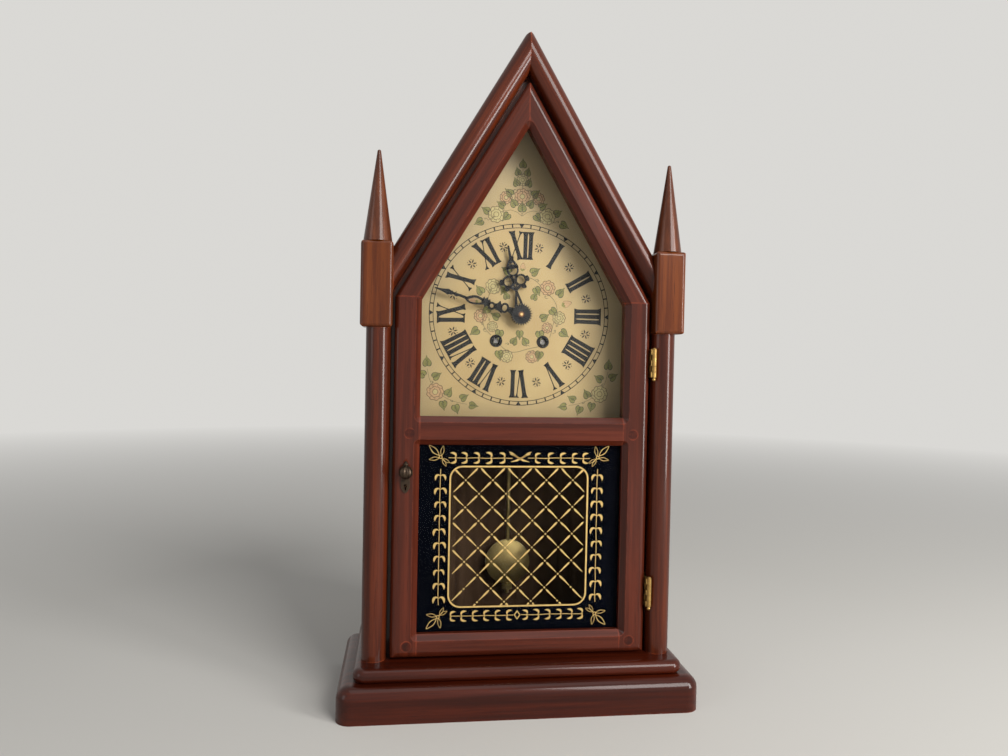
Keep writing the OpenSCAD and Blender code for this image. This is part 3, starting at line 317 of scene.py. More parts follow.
# %% Varnished boards
WOODS = {
    "case": ((0.110, 0.0204, 0.0063), (0.069, 0.0118, 0.0037), (0.037, 0.0065, 0.0025)),
    "base": ((0.071, 0.0099, 0.0027), (0.048, 0.0064, 0.0018), (0.028, 0.0040, 0.0014)),
    "door": ((0.105, 0.0182, 0.0071), (0.071, 0.0121, 0.0047), (0.042, 0.0075, 0.0032)),
    "block": ((0.150, 0.0357, 0.0066), (0.097, 0.0201, 0.0036), (0.055, 0.0112, 0.0025)),
    "spire": ((0.152, 0.0440, 0.0172), (0.102, 0.0284, 0.0114), (0.063, 0.0173, 0.0077)),
    "plain": ((0.560, 0.400, 0.230), (0.440, 0.290, 0.150), (0.280, 0.165, 0.080)),
    "stained": ((0.080, 0.046, 0.026), (0.060, 0.034, 0.019), (0.036, 0.020, 0.012)),
}


def board(name, tone, tilt=(0, 0, 0), shift=(0, 0, 0), bands=0.34, coat=0.4, rough=0.4, wear_and_highlight=0.4):
    """Varnished wood whose grain runs along Z, turned by tilt in degrees."""
    m, tree, skin = fresh_material(name)
    at = here(tree)
    turn = node_in(tree, "ShaderNodeMapping", vector_type="TEXTURE")
    fix(turn, Rotation=[math.radians(a) for a in tilt], Location=shift)
    link(tree, at, turn.inputs["Vector"])
    light, mid, dark = WOODS[tone]
    g = placed(tree, grain, Vector=turn.outputs[0], Light=light, Mid=mid, Dark=dark, Bands=bands)
    # Paler edges: partly worn varnish, partly a painted highlight along the edges
    worn_and_highlit = placed(tree, edges, Radius=0.0016, Amount=wear_and_highlight)
    paler = tuple(min(1, c * 2.8) for c in light)
    rubbed_and_highlit = blend_colours(tree, worn_and_highlit.outputs["Mask"], g.outputs["Color"], paler)
    link(tree, rubbed_and_highlit, skin.inputs["Base Color"])
    handled = noise(tree, at, 14, 3, 0.6)
    link(tree, ramp(tree, handled, 0.3, 0.75, rough - 0.07, rough + 0.13), skin.inputs["Roughness"])
    relief(tree, g.outputs["Height"], skin, 0.22, 0.0002)
    fix(skin, Coat_Weight=coat, Coat_Roughness=0.13, Specular_IOR_Level=0.05)
    return m


def dress(node, material):
    """Gives a CAD piece one material."""
    slots = nodes[node].data.materials
    slots.clear()
    slots.append(material)


# The gable's slope, in degrees from upright, and the ways that the grain can run
LEAN = 30.6
UPRIGHT, ALONG_X, ALONG_Y = (0, 0, 0), (0, 90, 0), (90, 0, 0)
LEFT_SLOPE, RIGHT_SLOPE = (0, LEAN, 0), (0, -LEAN, 0)
BOARDS = (
    ("lower_base upper_base", "base", ALONG_X, 0.34),
    ("left_side right_side", "case", UPRIGHT, 0.36),
    ("left_roof", "case", LEFT_SLOPE, 0.3), ("right_roof", "case", RIGHT_SLOPE, 0.3),
    ("left_column right_column", "case", UPRIGHT, 0.3),
    ("left_pinnacle right_pinnacle", "block", UPRIGHT, 0.2),
    ("front_frame", "case", UPRIGHT, 0.3), ("back_board", "plain", UPRIGHT, 0.34),
    ("dial_board gong_block", "plain", ALONG_X, 0.34),
    ("door_left_stile door_right_stile", "door", UPRIGHT, 0.3),
    ("door_bottom_rail door_middle_rail", "door", ALONG_X, 0.3),
    ("door_left_rafter", "door", LEFT_SLOPE, 0.3),
    ("door_right_rafter", "door", RIGHT_SLOPE, 0.3),
    ("door_pegs", "base", ALONG_Y, 0.3), ("glazing_beads", "door", UPRIGHT, 0.3),
)
boards = [(node, *how) for pieces, *how in BOARDS for node in pieces.split()]
for i, (node, tone, tilt, banded) in enumerate(boards):
    shift = (0.37 * i, 0.21 * i, 0.13 * i)
    coat, rough, wear_and_highlight = (0, 0.7, 0) if tone == "plain" else (0.55, 0.4, 0.75)
    dress(node, board(f"wood_{node}", tone, tilt, shift, banded, coat, rough, wear_and_highlight))
print("boards:", len(boards))

# %% [markdown]
# The back board is bare wood outside and stained dark on the face that looks into the
# case. A block and the spire on it are one CAD piece, though the spire is turned from
# another wood. Both are done by mixing a second wood in past a plane.

# %% Two woods in one piece
def two_woods(node, tone, axis, low, high):
    """Mixes a second wood into a board, from none at low to all at high along an axis."""
    m = nodes[node].data.materials[0]
    tree = m.node_tree
    skin = tree.nodes["Principled BSDF"]
    first = skin.inputs["Base Color"].links[0].from_socket
    at = here(tree)
    split = node_in(tree, "ShaderNodeSeparateXYZ")
    link(tree, at, split.inputs[0])
    light, mid, dark = WOODS[tone]
    other = placed(tree, grain, Vector=at, Light=light, Mid=mid, Dark=dark, Bands=0.3)
    past = ramp(tree, split.outputs[axis], low * mm, high * mm)
    link(tree, blend_colours(tree, past, first, other.outputs["Color"]), skin.inputs["Base Color"])


STAIN = (53.0, 52.5)
SPIRE_FOOT = (347.2, 347.6)
two_woods("back_board", "stained", "Y", *STAIN)
for node in ("left_pinnacle", "right_pinnacle"):
    two_woods(node, "spire", "Z", *SPIRE_FOOT)
print("two-tone pieces: 3")

# %% [markdown]
# ## Metals
# Brass is polished along the plates and dulls where hands and air reach it, so its
# roughness and colour drift a little. Steel is the same idea in grey. The hands are black
# enamel on steel, which is no bare metal, so they shine like paint.

# %% Metals
def metal(name, colour, dull, rough=0.3, brushed=False, metallic=1.0, scale=60, wear_and_highlight=0.0):
    """Metal that drifts between a bright and a dull colour, brushed along Z if asked."""
    m, tree, skin = fresh_material(name)
    at = here(tree)
    stain = ramp(tree, noise(tree, at, scale, 4, 0.6), 0.38, 0.68)
    colour_out = blend_colours(tree, stain, colour, dull)
    # Paler edges: partly wear, partly a painted highlight along the edges
    if wear_and_highlight:
        worn_and_highlit = placed(tree, edges, Radius=0.0006, Amount=wear_and_highlight)
        paler = tuple(min(1, c * 2.2) for c in colour)
        colour_out = blend_colours(tree, worn_and_highlit.outputs["Mask"], colour_out, paler)
    link(tree, colour_out, skin.inputs["Base Color"])
    link(tree, ramp(tree, stain, 0, 1, rough, rough + 0.18), skin.inputs["Roughness"])
    lines = noise(tree, stretched(tree, at, (1, 1, 0.04) if brushed else (1, 1, 1)), 900, 2)
    relief(tree, lines, skin, 0.12, 0.0001)
    fix(skin, Metallic=metallic)
    return m


brass = metal("brass", (0.72, 0.50, 0.20), (0.50, 0.33, 0.13), 0.28, brushed=True)
old_brass = metal("old_brass", (0.44, 0.28, 0.09), (0.24, 0.14, 0.05), 0.4, scale=260)
# The pendulum's brass is painted darker: partly a dull finish, partly painted shade inside the case
dull_brass_painted_shade = metal("dull_brass_painted_shade", (0.27, 0.20, 0.08), (0.16, 0.12, 0.05), 0.42, scale=40)
bronze = metal("dark_bronze", (0.075, 0.052, 0.036), (0.035, 0.026, 0.020), 0.36,
               scale=220, wear_and_highlight=0.5)
copper = metal("copper", (0.17, 0.085, 0.05), (0.11, 0.055, 0.03), 0.55)
steel = metal("steel", (0.52, 0.52, 0.54), (0.36, 0.36, 0.38), 0.3, brushed=True)
dark_steel = metal("dark_steel", (0.20, 0.19, 0.18), (0.12, 0.11, 0.10), 0.34, scale=300)
black_steel = metal("black_enamel", (0.007, 0.007, 0.008), (0.013, 0.012, 0.011), 0.38,
                    metallic=0.0, scale=90)
fix(black_steel.node_tree.nodes["Principled BSDF"], Specular_IOR_Level=0.2)
METAL_PIECES = (
    (brass, "front_plate back_plate plate_pillars suspension_cock centre_wheel hour_wheel "
            "minute_wheel time_barrel time_second_wheel third_wheel escape_wheel strike_barrel "
            "strike_second_wheel strike_third_wheel"),
    (dull_brass_painted_shade, "pendulum_rod pendulum_bob rating_nut"),
    (old_brass, "hinge_case_leaves hinge_door_leaves"),
    (steel, "back_screws clicks gong_rods anchor fly hammer latch_cam"),
    (dark_steel, "time_winding_arbor strike_winding_arbor"),
    (copper, "cannon_pinion"),
    (bronze, "latch_escutcheon latch_keeper latch_knob"),
    (black_steel, "winding_grommets minute_hand hour_hand"),
)
for material, pieces in METAL_PIECES:
    for node in pieces.split():
        dress(node, material)
print("metals:", len(METAL_PIECES))

# %% [markdown]
# ## Glass
# The glass in the door has to let the lamps through, or the dial would sit in the dark.
# So rays towards lamps, and the soft light that bounces off the dial, meet a transparent
# shader, and all others meet real glass.

# %% Panes
GLASS = (0.97, 0.985, 0.98)


def pane(name, colour, ior):
    m, tree, skin = fresh_material(name)
    fix(skin, Base_Color=(*colour, 1), Roughness=0, IOR=ior, Transmission_Weight=1)
    clear = node_in(tree, "ShaderNodeBsdfTransparent")
    rays = node_in(tree, "ShaderNodeLightPath")
    both = node_in(tree, "ShaderNodeMixShader")
    unseen = maths(tree, "MAXIMUM", rays.outputs["Is Shadow Ray"], rays.outputs["Is Diffuse Ray"])
    link(tree, unseen, both.inputs[0])
    link(tree, skin.outputs[0], both.inputs[1])
    link(tree, clear.outputs[0], both.inputs[2])
    link(tree, both.outputs[0], tree.nodes["Material Output"].inputs["Surface"])
    return m


dress("upper_glass", pane("clear_glass", GLASS, 1.2))
dress("lower_glass", pane("painted_pane", GLASS, 1.08))
print("panes: 2")

# %% [markdown]
# ## Painted and cut shapes
# Numerals, leaves and gilt lines are flat shapes with sharp outlines. A filled 2D curve
# is the natural way to draw one: it takes an outline and its holes, and a little depth
# makes it a thin solid. A brush stroke is an outline too, made from the points that the
# brush passed and half its width at each. All curves become meshes before they are placed.

# %% Flat shapes
def deselect():
    bpy.ops.object.select_all(action="DESELECT")


def select_only(objects):
    deselect()
    for o in objects:
        o.select_set(True)
    bpy.context.view_layer.objects.active = objects[0]


def cut(name, groups, front, thick, material, body, bevel=0.0):
    """Flat solids in the XZ plane, whose faces lie at y = front. A group is an outline and
    its holes, as (x, z) points."""
    made = []
    for outlines in groups:
        curve = bpy.data.curves.new(name, "CURVE")
        curve.dimensions, curve.fill_mode = "2D", "BOTH"
        curve.extrude = (thick / 2 - bevel) * mm
        curve.bevel_depth, curve.offset, curve.bevel_resolution = bevel * mm, -bevel * mm, 2
        for outline in outlines:
            spline = curve.splines.new("POLY")
            spline.points.add(len(outline) - 1)
            for point, (x, z) in zip(spline.points, outline):
                point.co = (x * mm, z * mm, 0, 1)
            spline.use_cyclic_u = True
        o = bpy.data.objects.new(name, curve)
        bpy.context.collection.objects.link(o)
        made.append(o)
    select_only(made)
    bpy.ops.object.convert(target="MESH")
    if len(made) > 1:
        bpy.ops.object.join()
    piece = bpy.context.object
    piece.name = name
    stand = Matrix.Rotation(math.radians(90), 4, "X")
    piece.data.transform(Matrix.Translation((0, (front + thick / 2) * mm, 0)) @ stand)
    piece.data.materials.clear()
    piece.data.materials.append(material)
    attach(piece, body)
    return piece


def brush(points):
    """The outline of a stroke through (x, z, half width) points."""
    left, right = [], []
    for i, (x, z, half) in enumerate(points):
        x0, z0, _ = points[max(i - 1, 0)]
        x1, z1, _ = points[min(i + 1, len(points) - 1)]
        run = math.hypot(x1 - x0, z1 - z0) or 1
        nx, nz = -(z1 - z0) / run * half, (x1 - x0) / run * half
        left.append((x + nx, z + nz))
        right.append((x - nx, z - nz))
    return [right + left[::-1]]


def oval(x, z, half_x, half_z, count):
    """Points round an oval from its half sizes."""
    return [(x + half_x * math.cos(a), z + half_z * math.sin(a))
            for a in (i * math.tau / count for i in range(count))]


def ring(x, z, radius, half, count=96, wave=0.0, lobes=8):
    """A ring of half a width to each side of its radius, or a disc, with a wavy edge."""
    def circle(r):
        return [(x + r * (1 + wave * abs(math.cos(lobes * a / 2))) * math.cos(a),
                 z + r * (1 + wave * abs(math.cos(lobes * a / 2))) * math.sin(a))
                for a in (i * math.tau / count for i in range(count))]
    return [circle(radius + half), circle(radius - half)[::-1]] if half else [circle(radius)]


def moved(groups, x=0.0, z=0.0, angle=0.0, size=1.0, flip=1):
    """The same shapes turned clockwise by angle degrees, resized and moved."""
    c, s = math.cos(math.radians(angle)), math.sin(math.radians(angle))
    return [[[(x + size * (flip * px * c + pz * s), z + size * (pz * c - flip * px * s))
              for px, pz in o] for o in outlines] for outlines in groups]


def round_about(shape, angles, x=0.0, z=0.0):
    """Copies of a shape turned by each of the angles about one point."""
    return sum((moved(shape, x, z, a) for a in angles), [])


def paint(name, colour, rough=0.5, drift=0.25, metallic=0.0, scale=180, shine=0.5):
    """Brushed-on colour that drifts a little from place to place."""
    m, tree, skin = fresh_material(name)
    thin = ramp(tree, noise(tree, here(tree), scale, 4, 0.6), 0.3, 0.7)
    darker = tuple(c * (1 - drift) for c in colour)
    link(tree, blend_colours(tree, thin, colour, darker), skin.inputs["Base Color"])
    link(tree, ramp(tree, thin, 0, 1, rough, min(1, rough + 0.15)), skin.inputs["Roughness"])
    fix(skin, Metallic=metallic, Specular_IOR_Level=shine)
    return m


print("helpers for flat shapes: ready")

# %% [markdown]
# ## The dial
# The dial is sheet iron, painted cream, that has yellowed. Near the edges of the door's
# opening it is painted darker: partly soot, partly painted shade where the door's frame
# shades the dial. The mask for this darkening is the distance to that opening, worked out
# from its straight sides, so it follows the gable's shape.

# %% Dial sheet
DIAL = (0.0, 297.997)
DIAL_FRONT = -2.4
# The door's opening: half its width, its tip, and the foot above which the soot and painted shade
# gather
OPEN_HALF, OPEN_APEX, DARKENING_FOOT = 77.95, 437.5, 212.7
CREAM, TAN, SOOT_AND_SHADE = (0.450, 0.325, 0.143), (0.405, 0.280, 0.118), (0.25, 0.215, 0.135)
dial_paint, tree, skin = fresh_material("dial_paint")
at = here(tree)
split = node_in(tree, "ShaderNodeSeparateXYZ")
link(tree, at, split.inputs[0])
across = maths(tree, "MULTIPLY", maths(tree, "ABSOLUTE", split.outputs["X"]), 1000)
height = maths(tree, "MULTIPLY", split.outputs["Z"], 1000)
lean = math.radians(LEAN)
to_side = maths(tree, "SUBTRACT", OPEN_HALF, across)
below_tip = maths(tree, "MULTIPLY", maths(tree, "SUBTRACT", OPEN_APEX, height), math.sin(lean))
to_slope = maths(tree, "SUBTRACT", below_tip, maths(tree, "MULTIPLY", across, math.cos(lean)))
to_foot = maths(tree, "SUBTRACT", height, DARKENING_FOOT)
inside = maths(tree, "MINIMUM", maths(tree, "MINIMUM", to_side, to_slope), to_foot)
uneven = maths(tree, "MULTIPLY", maths(tree, "SUBTRACT", noise(tree, at, 18, 3, 0.6), 0.5), 14)
# Darker towards the opening's edges: partly soot, partly painted shade from the door's frame
soot_and_painted_shade = maths(tree, "MULTIPLY", ramp(tree, maths(tree, "ADD", inside, uneven), 22, -4), 0.45)
aged = blend_colours(tree, ramp(tree, noise(tree, at, 30, 4, 0.6), 0.35, 0.7), CREAM, TAN)
link(tree, blend_colours(tree, soot_and_painted_shade, aged, SOOT_AND_SHADE), skin.inputs["Base Color"])
fix(skin, Roughness=0.42)
relief(tree, noise(tree, at, 700, 3), skin, 0.08, 0.0001)
dress("dial_plate", dial_paint)


def on_dial(name, shapes, material, lift=0.05, thick=0.04):
    """Paint on the dial, whose face stands a lift above the sheet."""
    return cut(name, shapes, DIAL_FRONT - lift, thick, material, "case")


print("dial sheet:", tuple(round(v, 4) for v in nodes["dial_plate"].dimensions))

# %% [markdown]
# ## Numerals and minute track
# A Roman numeral is built from thick and thin strokes that flare into thin serifs. Each
# is drawn upright once, narrowed towards its foot so that it fits the circle, and then
# turned to its hour. Feet point to the centre all the way round, as on the real dial.

# %% Numerals
# A numeral's height, how far its foot stands from the centre, and how much it narrows there
HEIGHT, FOOT, NARROWING = 21.9, 43.8, 0.09
# Half the width of a thick stroke, a thin one and a serif, and how wide each letter is
THICK, THIN, SERIF = 1.68, 0.42, 0.34
WIDTH = {"I": 4.4, "V": 10.2, "X": 11.2}


def pillar(x0, z0, x1, z1, half):
    """A stroke that flares at both ends."""
    if half < 1:
        foot = [(0, 1.9), (0.05, 1.0), (0.12, 0.45), (0.2, 0.38)]
    else:
        foot = [(0, half + 1.0), (0.03, half + 0.75), (0.08, half + 0.25), (0.16, half)]
    ends = foot + [(1 - t, w) for t, w in foot[::-1]]
    return [brush([(x0 + (x1 - x0) * t, z0 + (z1 - z0) * t, w) for t, w in ends])]


def serif(x, z, half):
    return [brush([(x - half, z, SERIF), (x + half, z, SERIF)])]


def glyph(letter, x):
    w = WIDTH[letter]
    low, high = SERIF, HEIGHT - SERIF
    if letter == "I":
        middle = x + w / 2
        return (pillar(middle, 0, middle, HEIGHT, THICK)
                + serif(middle, low, 2.5) + serif(middle, high, 2.6))
    if letter == "V":
        foot = x + w / 2 + 0.5
        return (pillar(x + 2.2, HEIGHT, foot, 0, THICK)
                + pillar(x + w - 1.3, HEIGHT, foot + 0.8, 0.5, THIN)
                + serif(x + 2.2, high, 2.7) + serif(x + w - 1.5, high, 1.7))
    return (pillar(x + 2.2, HEIGHT, x + w - 2.2, 0, THICK)
            + pillar(x + w - 1.6, HEIGHT, x + 1.6, 0, THIN)
            + serif(x + 2.2, high, 2.6) + serif(x + w - 2.2, low, 2.6)
            + serif(x + w - 1.7, high, 1.8) + serif(x + 1.7, low, 1.8))


def numeral(hour, text):
    wide = sum(WIDTH[c] for c in text)
    x, shapes = -wide / 2, []
    for letter in text:
        shapes += glyph(letter, x)
        x += WIDTH[letter]
    fitted = [[[(px * (1 - NARROWING * (1 - pz / HEIGHT)), pz + FOOT) for px, pz in o] for o in g]
              for g in shapes]
    return moved(fitted, *DIAL, 30 * hour)


black = paint("black_paint", (0.013, 0.012, 0.011), 0.45, 0.3, shine=0.2)
hours = "I II III IIII V VI VII VIII IX X XI XII".split()
shapes = sum((numeral(i + 1, text) for i, text in enumerate(hours)), [])
on_dial("numerals", shapes, black)
print("numeral strokes:", len(shapes))

# %% Minute track and the stars between the hours
TRACK_IN, TRACK_OUT, STARS_AT = 68.7, 71.7, 55
minute_bar = [brush([(0, TRACK_IN, 0.48), (0, TRACK_OUT, 0.5)])]
hour_wedge = [brush([(0, TRACK_IN - 0.1, 0.08), (0, TRACK_OUT, 2.1)])]
shapes = [ring(*DIAL, TRACK_IN, 0.27, 240), ring(*DIAL, TRACK_OUT, 0.29, 240)]
for minute in range(60):
    shapes += moved(minute_bar if minute % 5 else hour_wedge, *DIAL, 6 * minute)
on_dial("minute_track", shapes, black)


def on_circle(radius, angle):
    """A point on the dial, from its distance and its clockwise angle."""
    a = math.radians(angle)
    return DIAL[0] + radius * math.sin(a), DIAL[1] + radius * math.cos(a)


ray = [brush([(0, 0.7, 0.15), (0, 2.3, 0.62), (0, 3.8, 0.15)])]
star = round_about(ray, range(0, 360, 60))
star += round_about([ring(0, 3.6, 0.4, 0, 10)], (30, 150, 210, 330))
shapes = sum((moved(star, *on_circle(STARS_AT, a), a) for a in range(15, 360, 30)), [])
on_dial("dial_stars", shapes, black)
print("star strokes:", len(shapes))

# %% [markdown]
# ## Flowers on the dial
# The flowers are plain country-style sprigs: heart-shaped leaves, round blossoms, buds
# and curling tendrils. One of each is drawn, and lists say where each copy goes. The
# leaf is two shapes, a dark one and a slightly smaller green one over it.

# %% Leaf, tendril and stem
def smooth(points, steps=4):
    """Extra points on a smooth closed curve through the given ones."""
    out, n = [], len(points)
    for i in range(n):
        p = [points[(i + k) % n] for k in (-1, 0, 1, 2)]
        for j in range(steps):
            t = j / steps
            out.append(tuple(0.5 * (2 * p[1][a] + (p[2][a] - p[0][a]) * t
                       + (2 * p[0][a] - 5 * p[1][a] + 4 * p[2][a] - p[3][a]) * t * t
                       + (3 * p[1][a] - p[0][a] - 3 * p[2][a] + p[3][a]) * t ** 3) for a in (0, 1)))
    return out


half_leaf = [(0.17, -0.05), (0.35, 0.02), (0.45, 0.2), (0.42, 0.42), (0.27, 0.65), (0.1, 0.84)]
leaf = [[smooth([(0, 0.07)] + half_leaf + [(0, 1.08)] + [(-x, z) for x, z in half_leaf[::-1]], 3)]]
leaf_fill = moved(leaf, 0, 0.06, 0, 0.86)
rib = [brush([(0, 0, 0.035), (0.01, 0.4, 0.03), (0, 0.85, 0.01)])]
for z in (0.15, 0.35, 0.55):
    rib += [brush([(0, z, 0.02), (s * 0.22, z + 0.17, 0.01)]) for s in (-1, 1)]


def curl(x, z, angle, long=5.0, side=1, half=0.2, steps=22):
    """A tendril that leaves (x, z) in a direction and winds up."""
    points, heading = [], math.radians(angle)
    for i in range(steps):
        points.append((x, z, half))
        x += long / steps * math.sin(heading) * (1.6 - i / steps)
        z += long / steps * math.cos(heading) * (1.6 - i / steps)
        heading += side * 0.035 * (1 + i * 1.1)
    return [brush(points)]


def arc_stem(radius, start, end, half=0.22, wave=1.3, waves=6):
    """A stem that winds along a circle about the dial's centre."""
    points = []
    count = int(abs(end - start) / 3) + 2
    for i in range(count):
        a = math.radians(start + (end - start) * i / (count - 1))
        r = radius + wave * math.sin(waves * a)
        points.append((DIAL[0] + r * math.sin(a), DIAL[1] + r * math.cos(a), half))
    return [brush(points)]


print("a leaf has", len(leaf[0][0]), "points")

# %% A wreath in the middle of the dial
# A leaf is (x, z, angle, size), a blossom (x, z, size), a bud (x, z, angle, size)
leaves, blossoms, buds, lines = [], [], [], []
for start, end in ((8, 126), (146, 214), (234, 352)):
    lines += arc_stem(29, start, end)
for a, r, lean_by, size in (
        (14, 34, 60, 8), (28, 25, 150, 7.5), (62, 34, 40, 8), (78, 25, 130, 7.5),
        (110, 35, 125, 8), (150, 33, 190, 8), (166, 24, 330, 7), (194, 24, 30, 7),
        (210, 33, 170, 8), (250, 35, 235, 8), (282, 25, 230, 7.5), (298, 34, 320, 8),
        (332, 25, 210, 7.5), (346, 34, 300, 8), (100, 17, 60, 7.5), (128, 20, 170, 8),
        (232, 20, 190, 8), (260, 17, 300, 7.5), (180, 12.5, 180, 7), (40, 16, 20, 6.5),
        (320, 16, 340, 6.5)):
    leaves.append((*on_circle(r, a), lean_by, size))
for a, r, size in ((45, 31, 1.15), (93, 31.5, 1.0), (163, 34.5, 0.95), (197, 34.5, 0.95),
                   (267, 31.5, 1.0), (315, 31, 1.15), (114, 24, 0.8), (246, 24, 0.8)):
    blossoms.append((*on_circle(r, a), size))
for a, lean_by, size in ((76, 70, 1.15), (284, 290, 1.15), (2, 5, 0.9)):
    buds.append((*on_circle(35, a), lean_by, size))
for a, side in ((22, 1), (54, -1), (100, 1), (118, -1), (136, 1), (158, 1), (202, -1),
                (224, -1), (242, 1), (260, -1), (306, 1), (338, -1)):
    lines += curl(*on_circle(30, a), a + side * 40, 6, side)
    lines += curl(*on_circle(26, a + 4), a + 180 - side * 30, 5, -side)
print("wreath leaves:", len(leaves))

# %% A spray in the gable above the dial
LONG_STEM = ((0, 376), (4, 379), (9, 380.5), (14, 379.5), (20, 376), (27, 371.5))
SHORT_STEM = ((0.6, 378), (3, 385), (4.6, 391), (4.0, 397))
for s in (-1, 1):
    lines += [brush([(s * x, z, 0.17) for x, z in LONG_STEM])]
    lines += [brush([(s * x, z, 0.15) for x, z in SHORT_STEM])]
    for x, z, a, size in ((5, 383.5, 35, 7.5), (10.5, 377.5, 140, 7.5), (26, 378, 60, 7),
                          (31, 371.5, 118, 7.5), (8, 392, 50, 7.5), (4, 399.5, 20, 7),
                          (14, 383, 60, 7), (3.2, 408, 15, 6.5)):
        leaves.append((s * x, z, s * a, size))
    blossoms.append((s * 13, 390, 0.95))
    blossoms.append((s * 20.5, 376.5, 1.25))
    lines += curl(s * 14, 380, s * 20, 6, s) + curl(s * 21, 376, s * 160, 5, -s)
    lines += curl(s * 4.4, 396, s * 60, 5, s) + curl(s * 27, 372, s * 40, 5, s)
leaves += [(0, 414, 0, 7), (0, 379.5, 0, 8)]
blossoms += [(0, 391.5, 1.2), (0, 404.5, 0.9)]
lines += [brush([(0, 376, 0.25), (0, 384, 0.22), (0, 414, 0.2)])]
print("leaves with the gable's:", len(leaves))

# %% Sprays in the two lower corners
CORNER_STEM = ((72.5, 254), (71, 247), (68.5, 241), (64, 235.5), (57, 231), (49, 228), (41, 226.5))
for s in (-1, 1):
    lines += [brush([(s * x, z, 0.16) for x, z in CORNER_STEM])]
    for x, z, a, size in ((72.5, 256, 5, 8), (74, 248.5, 60, 7.5), (68, 247, 300, 7.5),
                          (60, 229, 190, 7.5), (57, 233, 330, 7.5), (50.5, 226, 200, 7.5),
                          (46, 230.5, 300, 7), (39, 226, 262, 7)):
        leaves.append((s * x, z, s * a, size))
    blossoms.append((s * 66, 236, 1.3))
    lines += curl(s * 70, 244, s * 290, 4.5, -s) + curl(s * 54, 230, s * 200, 4.5, s)
    lines += curl(s * 60, 233, s * 20, 4, s)
print("leaves:", len(leaves), "blossoms:", len(blossoms))

# %% [markdown]
# The paint lies in thin layers, each a little nearer to the viewer than the one under it,
# so that they cover each other as brushwork does. All its colours are dulled towards the
# yellow of the old varnish.

# %% The flowers' colours and leaves
ink = paint("olive_ink", (0.115, 0.102, 0.048), 0.5, 0.3)
leaf_edge = paint("leaf_edge", (0.042, 0.040, 0.015), 0.5, 0.3)
leaf_green = paint("leaf_green", (0.235, 0.218, 0.052), 0.5, 0.45, 0, 260)
rose = paint("faded_rose", (0.49, 0.300, 0.145), 0.5, 0.2, 0, 200)
pale = paint("pale_yellow", (0.47, 0.385, 0.165), 0.5, 0.2, 0, 200)
brown = paint("brown_ink", (0.125, 0.078, 0.032), 0.5, 0.3)


def everywhere(pattern, places):
    return sum((moved(pattern, x, z, a, size) for x, z, a, size in places), [])


on_dial("leaf_edges", everywhere(leaf, leaves), leaf_edge)
on_dial("leaf_greens", everywhere(leaf_fill, leaves), leaf_green, 0.07)
on_dial("leaf_ribs", everywhere(rib, leaves), leaf_edge, 0.09)
on_dial("tendrils", lines, ink, 0.04, 0.03)
print("tendrils and stems:", len(lines))

# %% Blossoms and buds
petals, hearts, outlines = [], [], []
for x, z, size in blossoms:
    petals.append(ring(x, z, 4.6 * size, 0, 64, 0.14, 9))
    hearts.append(ring(x, z, 1.5 * size, 0, 24, 0.1, 6))
    outlines += [ring(x, z, 4.6 * size, 0.24, 72, 0.14, 9),
                 ring(x, z, 2.9 * size, 0.2, 56, 0.18, 7), ring(x, z, 1.5 * size, 0.2, 32, 0.1, 6)]
    fold = [brush([(0, 3.2 * size, 0.15), (0, 4.7 * size, 0.2)])]
    outlines += round_about(fold, range(20, 360, 40), x, z)
bud_fill = [[smooth([(0, 0), (1.9, 1.2), (2.1, 3.2), (0, 6.6), (-2.1, 3.2), (-1.9, 1.2)], 4)]]
bud_line = [[smooth([(0, -0.2), (2.1, 1.1), (2.3, 3.2), (0, 7.1), (-2.3, 3.2), (-2.1, 1.1)], 4)]]
calyx = [[smooth([(0, -0.5), (1.7, 0.7), (1.1, 2.1), (0, 1.3), (-1.1, 2.1), (-1.7, 0.7)], 3)]]
on_dial("petals", petals[::2], rose, 0.04, 0.03)
on_dial("pale_petals", petals[1::2], pale, 0.04, 0.03)
on_dial("blossom_hearts", hearts, pale, 0.06)
on_dial("blossom_lines", outlines, brown, 0.08)
on_dial("bud_lines", everywhere(bud_line, buds), brown)
on_dial("bud_petals", everywhere(bud_fill, buds), rose, 0.07)
on_dial("bud_cups", everywhere(calyx, buds), leaf_green, 0.09)
print("petal lines:", len(outlines))

# %% [markdown]
# ## The painted lower glass
# The lower pane is painted from behind: a nearly black border, gold lines in front of it
# and a clear window in the middle, where the pendulum shows through a gold lattice. The
# gold is laid on first and the black over it, so the gold lies nearer the viewer. Hand
# painting wanders a little, so each line gets a small, seeded wobble.

# %% Gold lattice and frame
# The middle of the gilding, half the window's size and the radius inside its corners
GILT_AT, WINDOW, ROUND = (-0.6, 126.2), (53.5, 53.9), 9.3
# From one crossing of the lattice to the next along a row, and the y of the pane's back
LATTICE, PAINT_BACK = 20.86, -22.9
hand = random.Random(7)


def rounded_box(half_x, half_z, radius, steps=8):
    points = []
    for k, (cx, cz) in enumerate(((1, 1), (-1, 1), (-1, -1), (1, -1))):
        for i in range(steps + 1):
            a = math.radians(90 * k + 90 * i / steps)
            points.append((cx * (half_x - radius) + radius * math.cos(a),
                           cz * (half_z - radius) + radius * math.sin(a)))
    return points


def in_window(x, z):
    dx, dz = abs(x) - (WINDOW[0] - ROUND), abs(z) - (WINDOW[1] - ROUND)
    return max(dx, dz) < ROUND and (dx < 0 or dz < 0 or math.hypot(dx, dz) < ROUND)


